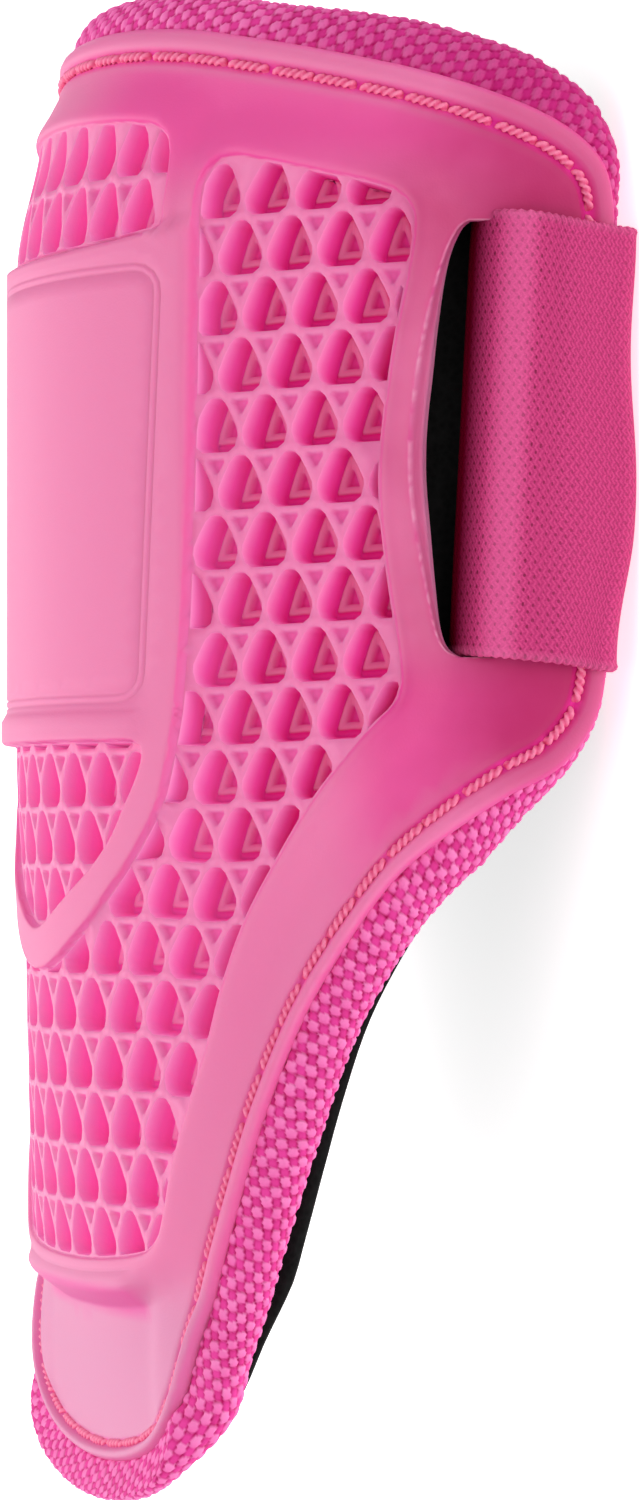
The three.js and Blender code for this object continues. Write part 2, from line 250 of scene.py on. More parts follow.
GROOVE_TOP = 47.4
GROOVE_BOTTOM = 117.0
GROOVE_TOP_HALF = 32.9
GROOVE_BOTTOM_HALF = 30.1
GROOVE_CORNER = 4.0


def panel_groove():
    """The line round the front panel: a rectangle a little narrower below, with round corners."""
    turn = np.linspace(0, math.pi / 2, 7)
    corner = GROOVE_CORNER
    upper = np.column_stack([
        GROOVE_TOP_HALF - corner + corner * np.sin(turn),
        GROOVE_TOP + corner - corner * np.cos(turn),
    ])
    lower = np.column_stack([
        GROOVE_BOTTOM_HALF - corner + corner * np.cos(turn),
        GROOVE_BOTTOM - corner + corner * np.sin(turn),
    ])
    half = np.vstack([[0, GROOVE_TOP], upper, lower, [0, GROOVE_BOTTOM]])
    return turned_outwards(whole_loop(evenly(half, EDGE_SPACING)))


groove = panel_groove()

# heights of the face: rim and stitch groove, lip round each field, step at the tip, panel, bar and rib
RIM_PROFILE = (
    (0.0, -1.0), (0.4, -0.3), (1.0, 0.3), (1.9, 0.62), (2.9, 0.5), (3.6, 0.05),
    (4.3, -0.75), (5.0, -0.75), (5.7, -0.2), (6.4, 0.08), (7.6, 0.1),
)
LIP_PROFILE = ((0.0, -1.0), (0.2, -0.62), (0.5, -0.34), (0.9, -0.14), (1.5, -0.03), (2.3, 0.0))
CRISP_LIP = ((0.0, -0.6), (0.2, -0.25), (0.5, -0.06), (0.9, 0.0))
GROOVE_PROFILE = ((0.0, 0.03), (0.35, 0.0), (0.6, -0.32), (0.85, 0.0))
STEP_PROFILE = (
    (0, 3.0), (1.2, 2.8), (2.2, 2.75), (2.8, 3.1), (3.5, 3.5), (4.4, 3.65), (5.2, 3.45), (5.8, 2.9),
    (7.0, 1.6), (7.9, 0.55), (8.3, 0.1), (8.8, 0.0),
)
STEP_ALONG = (204, 207)
STEP_ACROSS = (29, 22)
TIP_FLOOR = -0.9
TIP_FLOOR_ALONG = (212, 218)
TIP_FLOOR_ACROSS = (30, 24)
TIP_FLOOR_INSET = (3.2, 4.6)
TIP_RIM = 0.7
TIP_RIM_INSET = (2.6, 1.5)
RIM_NARROWING = 0.34
RIM_NARROWS = (126, 150)
FIELD_RAISE = 3.0
FIELD_RAISE_REACH = 9.0
CREST = 2.0
FRONT_CREST = 1.5
FRONT_CREST_START = (22, 42)
FRONT_CREST_END = (126, 158)
FRONT_CREST_SIDE = (30, 42)
STRIP_RAISE = 1.3
STRIP_SIDES = (29, 40)
STRIP_ENDS = (20, 46)
STRIP_ALONG = (24, 40)
STRIP_ACROSS = (30, 32)
PANEL_STEP = 2.1
PANEL_HALF_WIDTH = 39.6
PANEL_FADE = 3.2
PANEL_TOP_LINE = ((0, 43.3), (13, 43.1), (24, 42.3), (34, 41.0), (42, 40.2))
PANEL_BOTTOM = 124.1
PANEL_ROUND = 0.7
PANEL_MARGIN = 1.0
BAR_TOP = 120.0
BAR_ROUND = 1.6
BAR_HALF_LENGTH = 31.0
BAR_FADE = 3.0
BAR_STEP = 0.9
RIB_HALF_WIDTH = 38.0
RIB_END = 163.0
RIB_DROP = 1.8
RIB_DROP_LENGTH = 34.0


def profile(value, rows):
    table = np.array(rows)
    return np.interp(value, table[:, 0], table[:, 1])


def rim_width(t):
    return 1 - RIM_NARROWING * fade(t, *RIM_NARROWS)


def rim_loop(inset):
    """A line inside the shell's edge, nearer to it along the tongue, where the rim is narrower."""
    return moved(edge, -inset * rim_width(edge[:, 1]))


def distance_to_field(points):
    return np.min([distance_to(points, loop) for loop in fields], axis=0)


def crest(points):
    """Height of the ribs between the wells, higher at the front."""
    s, t = np.abs(points[:, 0]), points[:, 1]
    forward = fade(t, *FRONT_CREST_START) * (1 - fade(t, *FRONT_CREST_END))
    return CREST + FRONT_CREST * forward * (1 - fade(s, *FRONT_CREST_SIDE))


def face_height(points):
    s, t = np.abs(points[:, 0]), points[:, 1]
    to_field = distance_to_field(points)
    to_edge = distance_to(points, edge)
    top_line = profile(s, PANEL_TOP_LINE)
    in_panel = (s < PANEL_HALF_WIDTH) & (t > top_line - PANEL_MARGIN) & (t < PANEL_BOTTOM + PANEL_MARGIN)
    in_strip = (s > STRIP_SIDES[0]) & (s < STRIP_SIDES[1]) & (t > STRIP_ENDS[0]) & (t < STRIP_ENDS[1])
    by_rib = (s < RIB_HALF_WIDTH) & (t < RIB_END)
    in_rib = by_rib & (t > PANEL_BOTTOM - PANEL_ROUND)
    raised = FIELD_RAISE * fade(to_field, FIELD_RAISE_REACH, 0)
    at_step = fade(t, *STEP_ALONG) * fade(s, *STEP_ACROSS)
    raised = raised * (1 - at_step) + profile(to_field, STEP_PROFILE) * at_step
    raised = np.where(in_panel | (by_rib & (t > BAR_TOP)), FIELD_RAISE, raised)
    below_step = fade(t, *TIP_FLOOR_ALONG)
    raised += TIP_FLOOR * below_step * fade(to_edge, *TIP_FLOOR_INSET) * fade(s, *TIP_FLOOR_ACROSS)
    raised += TIP_RIM * below_step * fade(to_edge, *TIP_RIM_INSET)
    above_panel = in_strip & (t < top_line + PANEL_MARGIN)
    raised += STRIP_RAISE * above_panel * fade(t, *STRIP_ALONG) * fade(s, *STRIP_ACROSS)
    crisp = in_panel | in_rib | in_strip
    lip = np.where(crisp, profile(to_field, CRISP_LIP), profile(to_field, LIP_PROFILE))
    height = profile(to_edge / rim_width(t), RIM_PROFILE) + raised + lip
    on_panel = fade(t, top_line, top_line + PANEL_ROUND) * ~in_rib * (t < PANEL_BOTTOM + PANEL_MARGIN)
    height += PANEL_STEP * fade(s, PANEL_HALF_WIDTH, PANEL_HALF_WIDTH - PANEL_FADE) * on_panel
    height += profile(distance_to(points, groove), GROOVE_PROFILE)
    on_bar = fade(t, BAR_TOP - BAR_ROUND, BAR_TOP) * (t < PANEL_BOTTOM)
    height += BAR_STEP * fade(s, BAR_HALF_LENGTH, BAR_HALF_LENGTH - BAR_FADE) * on_bar
    height += (PANEL_STEP - RIB_DROP * fade(t, PANEL_BOTTOM, PANEL_BOTTOM + RIB_DROP_LENGTH)) * in_rib
    return np.where(inside_any(points, fields), crest(points), height)


# the wells: up-pointing triangles with cut corners in rows, small dimples between them
WELL_HALF = (
    (0.54, 0.03), (0.80, 0.12), (0.915, 0.29), (0.90, 0.42), (0.68, 0.64), (0.42, 0.86), (0.21, 0.955),
)
FLOOR_HALF = (
    (0.48, 0.08), (0.68, 0.09), (0.72, 0.14), (0.58, 0.35), (0.40, 0.60), (0.18, 0.85), (0.07, 0.92),
)
BLOCK_HALF = (
    (0.44, 0.19), (0.61, 0.19), (0.64, 0.23), (0.53, 0.38), (0.37, 0.60), (0.15, 0.84), (0.05, 0.89),
)
DIMPLE_OUTLINE = np.array([
    (-0.34, 0.935), (0.34, 0.935), (0.38, 0.87), (0.08, 0.645), (-0.08, 0.645), (-0.38, 0.87),
])
DIMPLE_FLOOR = 0.58
DIMPLE_DEPTH = 1.25
HOLE_MIDDLE = (0.0, 0.42)
HOLE_SIZE = 0.44
ROW_SLOPE = 0.045
ROW_SLOPE_MIDDLE = 55.0
ROW_SLOPE_STARTS = (30, 42)
FIELD_GRIDS = (
    {"pitch": 7.0, "row": 11.1, "first": 32.4, "rows": 2, "start": 1},
    {"pitch": 7.0, "row": 9.45, "first": 125.4, "rows": 4, "start": 1},
    {"pitch": 8.3, "row": 9.42, "first": 39.8, "rows": 19, "start": 0},
)
FURTHEST_COLUMN = 11
BORDER = 0.3
FLOOR_BORDER = 1.0
SMALLEST_WELL = 0.05
SHORTEST_SIDE = 0.04
FOLDED_BACK = -0.9


def well_outline(half, low, high):
    right = np.array(half)
    return np.vstack([[(0, low)], right, [(0, high)], mirrored(right[::-1])])


WELL_OUTLINE = well_outline(WELL_HALF, 0.03, 0.975)
FLOOR_OUTLINE = well_outline(FLOOR_HALF, 0.09, 0.91)
BLOCK_OUTLINE = well_outline(BLOCK_HALF, 0.20, 0.87)
HOLE_OUTLINE = np.array(HOLE_MIDDLE) + (BLOCK_OUTLINE - HOLE_MIDDLE) * HOLE_SIZE
LOWER_OUTLINES = (FLOOR_OUTLINE, BLOCK_OUTLINE, HOLE_OUTLINE)


def held_in(loop, border):
    """The loop with each point outside the border brought to the border's nearest place."""
    out = ~inside(loop, border)
    kept = loop.copy()
    kept[out] = nearest_on(loop[out], border)
    return kept


def placed(outline, middle, base, grid):
    s = middle + outline[:, 0] * grid["pitch"] / 2
    reach = np.abs(s)
    lower = ROW_SLOPE * (ROW_SLOPE_MIDDLE - reach) * fade(reach, *ROW_SLOPE_STARTS)
    return np.column_stack([s, base - outline[:, 1] * grid["row"] + lower])


def without_folds(loop):
    """Places in the loop, without the points that double it or turn it back on itself."""
    kept = list(range(len(loop)))
    folded = True
    while folded:
        folded = False
        for k, place in enumerate(kept):
            to_here = loop[place] - loop[kept[k - 1]]
            onward = loop[kept[(k + 1) % len(kept)]] - loop[place]
            lengths = np.linalg.norm(to_here) * np.linalg.norm(onward)
            if np.linalg.norm(to_here) < SHORTEST_SIDE or to_here @ onward < FOLDED_BACK * lengths:
                del kept[k]
                folded = True
                break
    return kept


wells = []
dimples = []
for field, grid in zip(fields, FIELD_GRIDS):
    border = moved(field, -BORDER)
    floor_border = moved(field, -FLOOR_BORDER)
    for row in range(grid["rows"]):
        base = grid["first"] + row * grid["row"]
        shift = 0.5 if (row + grid["start"]) % 2 else 0.0
        for column in range(-FURTHEST_COLUMN, FURTHEST_COLUMN + 1):
            middle = (column + shift) * grid["pitch"]
            whole = placed(WELL_OUTLINE, middle, base, grid)
            top = held_in(whole, border)
            large = abs(signed_area(top)) > SMALLEST_WELL * abs(signed_area(whole))
            if inside(whole, border).sum() >= 3 and large:
                lower = [placed(outline, middle, base, grid) for outline in LOWER_OUTLINES]
                kept = without_folds(top)
                wells.append((top[kept], *[held_in(loop, floor_border)[kept] for loop in lower]))
            dimple = placed(DIMPLE_OUTLINE, middle + grid["pitch"] / 2, base, grid)
            if inside(dimple, floor_border).all():
                dimples.append(dimple)


class Drawing:
    """Lines drawn on the shell's flat pattern, to be filled with triangles."""

    def __init__(self):
        self.points = []
        self.lines = []

    def add(self, line, closed=True):
        first = len(self.points)
        count = len(line)
        self.points.extend(line)
        pieces = range(count if closed else count - 1)
        self.lines.extend((first + i, first + (i + 1) % count) for i in pieces)
        return np.arange(first, first + count)

    def fill(self, holes):
        """Fills the drawing inside the shell's edge and outside the holes."""
        made = delaunay_2d_cdt([Vector(p) for p in self.points], self.lines, [], 0, 1e-6)
        self.spots = np.array([v[:] for v in made[0]])
        self.place_of = np.full(len(self.points), -1)
        for index, sources in enumerate(made[3]):
            for source in sources:
                self.place_of[source] = index
        self.pieces_of_line = {}
        for ends, sources in zip(made[1], made[4]):
            for source in sources:
                self.pieces_of_line.setdefault(source, set()).update(ends)
        triangles = np.array(made[2])
        middles = self.spots[triangles].mean(1)
        keep = inside(middles, edge)
        for loop in holes:
            near = np.where(((middles > loop.min(0)) & (middles < loop.max(0))).all(1))[0]
            keep[near[inside(middles[near], loop)]] = False
        self.triangles = triangles[keep]


# the front of the shell: every line of its shape, then filling points where the face is smooth
SLOT_LIP = (0.3, 1.1)
SLOT_LIP_DROP = 0.3
CREST_LINE = -0.25
GROOVE_LINES = (-0.85, -0.6, -0.35, 0.35, 0.6, 0.85)
STEP_LINES_FROM = 205.0
STEP_LINES_HALF = 31.0
BAR_LINE_HALF = 36.0
BAR_LINE_POINTS = 40
FILL_SPACING = 2.3
FILL_ROW = 0.87
FILL_SIDES = (-108, 108)
FILL_ENDS = (5, 246)
FILL_GAP = 1.2
front = Drawing()
edge_at = front.add(edge)
for inset, _ in RIM_PROFILE[1:]:
    front.add(rim_loop(inset))
slot_at = [front.add(loop) for loop in slots]
for loop in slots:
    for out in SLOT_LIP:
        front.add(moved(loop, out))
for loop in fields:
    front.add(moved(loop, CREST_LINE))
    for out, _ in LIP_PROFILE:
        front.add(moved(loop, out))
for out in GROOVE_LINES:
    front.add(moved(groove, out))
for out, _ in STEP_PROFILE[2:]:
    line = moved(fields[2], out)
    line = line[(line[:, 1] > STEP_LINES_FROM) & (np.abs(line[:, 0]) < STEP_LINES_HALF)]
    front.add(line[np.argsort(line[:, 0])], closed=False)
well_at = []
well_lines = []
for top, *_ in wells:
    well_lines.append(len(front.lines))
    well_at.append(front.add(top))
for loop in dimples:
    front.add(loop)
dimple_floor_at = [front.add(loop.mean(0) + (loop - loop.mean(0)) * DIMPLE_FLOOR) for loop in dimples]
bar_line = np.linspace(-BAR_LINE_HALF, BAR_LINE_HALF, BAR_LINE_POINTS)
for level in (BAR_TOP - BAR_ROUND, BAR_TOP - BAR_ROUND / 2, BAR_TOP):
    front.add(np.column_stack([bar_line, np.full(BAR_LINE_POINTS, level)]), closed=False)
drawn = np.array(front.points)
grid_s, grid_t = np.meshgrid(
    np.arange(*FILL_SIDES, FILL_SPACING), np.arange(*FILL_ENDS, FILL_SPACING * FILL_ROW)
)
grid_s[1::2] += FILL_SPACING / 2
filling = np.column_stack([grid_s.ravel(), grid_t.ravel()])
filling = filling[inside(filling, edge)]
filling = filling[~inside_any(filling, fields + slots)]
for some in np.array_split(filling, 20):
    gaps = np.linalg.norm(some[:, None] - drawn[None], axis=2).min(1)
    front.points.extend(some[gaps > FILL_GAP])
front.fill(slots + [top for top, *_ in wells])
heights = face_height(front.spots)
for indices in dimple_floor_at:
    places = front.place_of[indices]
    heights[places] = crest(front.spots[places]) - DIMPLE_DEPTH
for indices in slot_at:
    heights[front.place_of[indices]] -= SLOT_LIP_DROP

# the back of the shell, and the walls at the rim and in the slots
BACK_AT_RIM = -1.9
BACK_INSIDE = -4.4
BACK_SLOPE = (5.5, 1.5)
BACK_FILL_STEP = 7
BACK_FILL_GAP = 2.5
SLOT_DRAFT = 2.4
SLOT_WALL = ((0.22, -0.6), (0.5, -1.3), (0.8, -2.2))
DRAFT_SIDE = (84, 80)
DRAFT_TOP = (42, 68)
DRAFT_BOTTOM = (111, 85)
DRAFT_AT_ENDS = 0.25


def slot_level(loop, share):
    """The slot's outline deeper in its wall, whose inner side slopes under the outer bar."""
    s, t = loop[:, 0], loop[:, 1]
    middle = fade(t, *DRAFT_TOP) * fade(t, *DRAFT_BOTTOM)
    inner = fade(np.abs(s), *DRAFT_SIDE) * (DRAFT_AT_ENDS + (1 - DRAFT_AT_ENDS) * middle)
    return np.column_stack([s + np.sign(s) * inner * SLOT_DRAFT * share, t])


back = Drawing()
slot_backs = [slot_level(loop, 1.0) for loop in slots]
edge_back_at, *slot_back_at = [back.add(loop) for loop in [edge] + slot_backs]
coarse = filling[::BACK_FILL_STEP]
gaps = np.linalg.norm(coarse[:, None] - np.array(back.points)[None], axis=2).min(1)
back.points.extend(coarse[gaps > BACK_FILL_GAP])
back.fill(slot_backs)
to_field = np.where(inside_any(back.spots, fields), 0, distance_to_field(back.spots))
back_heights = BACK_AT_RIM + (BACK_INSIDE - BACK_AT_RIM) * fade(to_field, *BACK_SLOPE)
face_count = len(front.spots)
tops = wrap(*front.spots.T, heights)
shell_points = [*tops, *wrap(*back.spots.T, back_heights)]
shell_faces = [tuple(triangle[::-1].tolist()) for triangle in front.triangles]
shell_faces += [tuple((triangle + face_count).tolist()) for triangle in back.triangles]


def wall(top, bottom, first_line=None):
    """Faces between two rings. A top ring of drawn lines has the points where other lines cross it."""
    for i in range(len(top)):
        j = (i + 1) % len(top)
        corners = [top[i], top[j], bottom[j], bottom[i]]
        if first_line is not None:
            start = front.spots[top[i]]
            between = front.pieces_of_line.get(first_line + i, set()) - {top[i], top[j]}
            corners[1:1] = sorted(between, key=lambda place: np.linalg.norm(front.spots[place] - start))
        shell_faces.append(tuple(int(corner) for corner in corners))


def add_ring(before, points, first_line=None):
    """Adds a ring of points to the shell, with the wall to it from the ring before."""
    ring = np.arange(len(shell_points), len(shell_points) + len(points))
    shell_points.extend(points)
    wall(before, ring, first_line)
    return ring


wall(front.place_of[edge_at], back.place_of[edge_back_at] + face_count)
for loop, indices, back_indices in zip(slots, slot_at, slot_back_at):
    ring = front.place_of[indices]
    for share, depth in SLOT_WALL:
        ring = add_ring(ring, wrap(*slot_level(loop, share).T, depth))
    wall(ring, back.place_of[back_indices] + face_count)

# what the plastic's colour follows: painted shade on steep faces, in grooves, under the step and in wells,
# painted light glowing on crests and in wells, flash on the slots' thin edges, and deeper pink places
STEEP = (0.9, 0.5)
STEEP_SHADE_SHARE = 0.3
GROOVE_INNER = (3.3, 4.1)
GROOVE_OUTER = (6.1, 5.2)
GROOVE_SHADE_SHARE = 0.95
GROOVE_SHADE_LOSS = 0.35
GROOVE_PALER = (120, 150)
STEP_SHADE = 0.38
STEP_SHADE_START = (212.2, 214.0)
STEP_SHADE_END = (218.6, 217.2)
STEP_SHADE_SIDE = (27, 23)
DIMPLE_SHADE_SHARE = 0.42
UPPER_DEEP_ALONG = (42, 26)
UPPER_DEEP_ASIDE = (3, 25)
LOWER_DEEP_ALONG = (106, 118)
LOWER_DEEP_ASIDE = (58, 72)
DEEP_FROM_RIM = (5.6, 8.1)
RIM_FREE = 0.5
RIM_FREE_INSET = (4.0, 3.2)
CREST_PAINTED_LIGHT = 0.3
DIMPLE_PAINTED_LIGHT = 0.5
FLASH_RANGE = (0.05, 0.75)
first, second, third = (tops[front.triangles[:, corner]] for corner in range(3))
facing = np.cross(third - first, second - first)
leaning = np.zeros_like(tops)
for corner in range(3):
    np.add.at(leaning, front.triangles[:, corner], facing)
upright = unit(wrap(*front.spots.T, heights + 1) - tops)
steep = fade(np.abs((unit(leaning) * upright).sum(1)), *STEEP)
aside, along = np.abs(front.spots[:, 0]), front.spots[:, 1]
rim_part = distance_to(front.spots, edge) / rim_width(along)
# painted shade: deeper pink in the rim's groove, on steep faces and on the face under the tip's step
groove_shade = fade(rim_part, *GROOVE_INNER) * fade(rim_part, *GROOVE_OUTER)
groove_shade *= GROOVE_SHADE_SHARE - GROOVE_SHADE_LOSS * fade(along, *GROOVE_PALER)
on_step = fade(along, *STEP_SHADE_START) * fade(along, *STEP_SHADE_END) * fade(aside, *STEP_SHADE_SIDE)
recess_shade_on_face = np.max([STEEP_SHADE_SHARE * steep, groove_shade, STEP_SHADE * on_step], axis=0)
on_crest = inside_any(front.spots, fields)
upper_deep = fade(along, *UPPER_DEEP_ALONG) * fade(aside, *UPPER_DEEP_ASIDE)
lower_deep = fade(along, *LOWER_DEEP_ALONG) * fade(aside, *LOWER_DEEP_ASIDE)
deep_share = fade(rim_part, *DEEP_FROM_RIM) * np.maximum(upper_deep, lower_deep) * ~on_crest
deep_share -= RIM_FREE * fade(rim_part, *RIM_FREE_INSET)
# painted light glowing on the crests and dimple floors, and painted shade in the dimples
painted_light_on_face = CREST_PAINTED_LIGHT * on_crest
for indices in dimple_floor_at:
    painted_light_on_face[front.place_of[indices]] = DIMPLE_PAINTED_LIGHT
    recess_shade_on_face[front.place_of[indices]] = DIMPLE_SHADE_SHARE
flash = np.zeros(face_count)
shavings = np.random.default_rng(5)
for indices in slot_at:
    flash[front.place_of[indices]] = shavings.uniform(*FLASH_RANGE, len(indices))
elsewhere = np.zeros(len(shell_points) - face_count)
painted_recess_shade = [recess_shade_on_face, elsewhere]
painted_well_light = [painted_light_on_face, elsewhere]

# the wells' walls and floors, ring by ring: share of the way in, depth, and for the block and hole the tone,
# which is the share of painted shade
WELL_RINGS = ((0.03, 0.06), (0.08, 0.25), (0.17, 0.7), (0.5, 2.4), (0.85, 3.9), (1.0, 4.5))
BLOCK_RINGS = ((0.0, 4.4, 1.0), (0.05, 4.06, 0.15), (0.14, 4.0, 0.0))
HOLE_RINGS = ((0.0, 4.0, 0.1), (0.2, 5.2, 0.8))
FULL_SHADE_DEPTH = 2.6
DRAW_TILT = 0.25
FULL_TILT_AT = 45.0
ROLLED_SIDE = 0.7
ROLLED_DEPTH = 0.6
PAINTED_LIGHT_FRONT = (34, 50)
PAINTED_LIGHT_DEPTH = 4.0
FRONT_PAINTED_LIGHT = 1.15
SIDE_PAINTED_LIGHT = 0.75
for indices, first_line, (top, floor_loop, block, hole) in zip(well_at, well_lines, wells):
    middle = top[:, 0].mean()
    lean = np.sign(middle) * DRAW_TILT * min(1.0, abs(middle) / FULL_TILT_AT)
    rings = []
    for part, deep in WELL_RINGS:
        rings.append((top + (floor_loop - top) * part, deep, min(1.0, deep / FULL_SHADE_DEPTH)))
    for loop, rows in ((block, BLOCK_RINGS), (hole, HOLE_RINGS)):
        rings += [(loop + (loop.mean(0) - loop) * part, deep, tone) for part, deep, tone in rows]
    ring = front.place_of[indices]
    for loop, depth, tone in rings:
        rolled = depth + ROLLED_SIDE * (1 - math.exp(-depth / ROLLED_DEPTH))
        places = wrap(loop[:, 0] + lean * rolled, loop[:, 1], crest(loop) - depth)
        ring = add_ring(ring, places, first_line)
        first_line = None
        # painted shade, deepening down each well's wall
        painted_recess_shade.append(np.full(len(loop), tone))
        # painted light glowing from the wall, stronger at the front and weaker deeper in
        aside_painted_light = fade(np.abs(loop[:, 0]), *PAINTED_LIGHT_FRONT)
        lost = SIDE_PAINTED_LIGHT * min(1.0, depth / PAINTED_LIGHT_DEPTH)
        painted_well_light.append((1 - aside_painted_light) * FRONT_PAINTED_LIGHT + aside_painted_light * SIDE_PAINTED_LIGHT - lost)
    shell_faces.append(tuple(ring.tolist()))


def mesh_piece(name, points, faces, values=None, merged=False):
    """A smooth object from points and faces, with a layer of numbers for each named list of values."""
    mesh = bpy.data.meshes.new(name)
    mesh.from_pydata(points.tolist(), [], faces)
    for layer_name, numbers in (values or {}).items():
        layer = mesh.attributes.new(layer_name, "FLOAT", "POINT")
        layer.data.foreach_set("value", np.concatenate(numbers).astype(np.float32))
    piece = bpy.data.objects.new(name, mesh)
    bpy.context.collection.objects.link(piece)
    bpy.context.view_layer.objects.active = piece
    piece.select_set(True)
    bpy.ops.object.mode_set(mode="EDIT")
    bpy.ops.mesh.select_all(action="SELECT")
    if merged:
        bpy.ops.mesh.remove_doubles(threshold=1e-7)
    bpy.ops.mesh.normals_make_consistent(inside=False)
    bpy.ops.object.mode_set(mode="OBJECT")
    bpy.ops.object.shade_smooth()
    piece.select_set(False)
    return piece


beyond_face = np.zeros(len(shell_points) - face_count)
shell_values = {
    "painted_recess_shade": painted_recess_shade,
    "painted_well_light": painted_well_light,
    "flash": [flash, beyond_face],
    "deep_share": [deep_share, beyond_face],
}
shell = mesh_piece("shell_moulding", np.array(shell_points), shell_faces, shell_values, merged=True)


class Finish:
    """A new material on a piece. Each call adds a node to it and gives that node's output."""

    def __init__(self, piece, name, uv_map=None):
        material = bpy.data.materials.new(name)
        material.use_nodes = True
        piece.data.materials.append(material)
        self.nodes = material.node_tree.nodes
        self.links = material.node_tree.links
        if uv_map:
            self.place = self.add("UVMap", "UV", {}, uv_map=uv_map)
        else:
            self.place = self.add("TexCoord", "Object", {})

    def put(self, node, inputs):
        for name, value in inputs.items():
            if isinstance(value, bpy.types.NodeSocket):
                self.links.new(value, node.inputs[name])
            else:
                node.inputs[name].default_value = value

    def add(self, kind, output, inputs, **settings):
        node = self.nodes.new("ShaderNode" + kind)
        for name, setting in settings.items():
            setattr(node, name, setting)
        self.put(node, inputs)
        return node.outputs[output]

    def maths(self, operation, *values, clamped=False):
        return self.add("Math", 0, dict(enumerate(values)), operation=operation, use_clamp=clamped)

    def times(self, first, second):
        return self.maths("MULTIPLY", first, second)

    def ranged(self, value, low, high, to_low=0.0, to_high=1.0, curve="LINEAR"):
        inputs = {"Value": value, "From Min": low, "From Max": high, "To Min": to_low, "To Max": to_high}
        return self.add("MapRange", "Result", inputs, interpolation_type=curve)

    def mixed(self, first, second, share):
        return self.add("Mix", "Result", {"A": first, "B": second, "Factor": share}, data_type="RGBA")

    def noise(self, scale, detail=2.0):
        return self.add("TexNoise", "Fac", {"Scale": scale, "Detail": detail, "Vector": self.place})

    def values_of(self, layer):
        return self.add("Attribute", "Fac", {}, attribute_name=layer)

    def bump(self, height, strength, distance):
        return self.add("Bump", "Normal", {"Height": height, "Strength": strength, "Distance": distance})

    def axis(self, name):
        return self.add("SeparateXYZ", name, {"Vector": self.place})

    def surface(self, inputs):
        self.put(self.nodes["Principled BSDF"], inputs)


PLASTIC_FRONT_PAINTED_SHEEN = (0.82, 0.178, 0.395, 1)
PLASTIC_TOP = (0.84, 0.075, 0.34, 1)
PLASTIC_TIP = (0.70, 0.205, 0.40, 1)
PLASTIC_WING_PAINTED_SHADE = (0.49, 0.012, 0.127, 1)
PLASTIC_RECESS_SHADE = (0.92, 0.035, 0.38, 1)
PLASTIC_FLASH = (0.95, 0.5, 0.68, 1)
PAINTED_WELL_LIGHT = (0.82, 0.36, 0.85, 1)
PAINTED_LIGHT_STRENGTH = 0.19
WING_FROM = 0.056
WING_FULL = 0.0735
TIP_FROM = -0.080
TIP_FULL = -0.094
SHADE_EDGE_DRIFT = 0.012
WING_DULLNESS = 0.28
plastic = Finish(shell, "moulded_pink_plastic")
from_middle = plastic.maths("ABSOLUTE", plastic.axis("X"))
# a noise moves the edge between the paler front and the painted shade of the wings
shade_edge = plastic.maths("MULTIPLY_ADD", plastic.noise(45, 3), SHADE_EDGE_DRIFT, from_middle)
outward = plastic.ranged(shade_edge, WING_FROM, WING_FULL, curve="SMOOTHSTEP")
downward = plastic.ranged(plastic.axis("Y"), TIP_FROM, TIP_FULL, curve="SMOOTHSTEP")
deeper = plastic.values_of("deep_share")
recess_shade = plastic.values_of("painted_recess_shade")
painted_wing_shade = plastic.maths("ADD", plastic.maths("MINIMUM", deeper, 0), outward, clamped=True)
# painted sheen makes the front paler pink; painted shade makes the wings, turned from the light, darker
colour = plastic.mixed(PLASTIC_FRONT_PAINTED_SHEEN, PLASTIC_TIP, downward)
colour = plastic.mixed(colour, PLASTIC_TOP, deeper)
colour = plastic.mixed(colour, PLASTIC_WING_PAINTED_SHADE, painted_wing_shade)
# painted shade in the wells, dimples, rim groove, under the step and on steep faces
colour = plastic.mixed(colour, PLASTIC_RECESS_SHADE, recess_shade)
colour = plastic.mixed(colour, PLASTIC_FLASH, plastic.values_of("flash"))
dullness = plastic.maths("MULTIPLY_ADD", outward, WING_DULLNESS, recess_shade)
plastic.surface({
    "Base Color": colour,
    # painted light: crests, dimple floors and wells' walls glow pink
    "Emission Color": PAINTED_WELL_LIGHT,
    "Emission Strength": plastic.times(plastic.values_of("painted_well_light"), PAINTED_LIGHT_STRENGTH),
    "Specular IOR Level": plastic.ranged(dullness, 0.0, 0.4, 0.6, 0.1),
    "Normal": plastic.bump(plastic.noise(2600), 0.08, 0.0004),
    "Roughness": 0.5,
    "Subsurface Weight": 0.25,
    "Subsurface Radius": (1.0, 0.3, 0.45),
    "Subsurface Scale": 0.002,
})
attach(shell, "root")
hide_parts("shell")

# Edge binding: a band of coarse pink basket weave, stuffed and rolled round the rim, sewn on under the
# shell's edge. Its yarns stand up from the roll, so they are part of the mesh.
# Its rows give s, t and the roll's size.
ROLL_ROWS = (
    (0, 6.2, 5.4), (44, 10.7, 5.8), (66, 15.5, 7.2), (87, 21.8, 7.4), (97, 26.3, 6.4), (103.5, 31.5, 4.0),
    (106.3, 38, 1.8), (106.2, 76, 1.2), (105, 116, 0.8), (102.6, 122.6, 0.8), (97, 128.8, 1.4),
    (89, 133, 3.8), (80, 138.7, 6.2), (72, 144.9, 7.2), (60, 162.3, 7.4), (51.2, 185, 7.9),
    (43, 210.7, 6.4), (37.4, 227.0, 6.2), (31.4, 235.6, 5.8), (19.6, 241.5, 5.6), (0, 243.8, 5.6),
)
ROLL_TUCK = 5.0
ROLL_TOP = -2.0
ROLL_BOTTOM = -9.2
TIP_ROLL_LIFT = 7.0
TIP_ROLL_ALONG = (228, 240)
TIP_ROLL_OUT = (-0.5, 0.4)
TIP_ROLL_TOP = -0.3
TIP_ROLL_SLOPE = 0.55
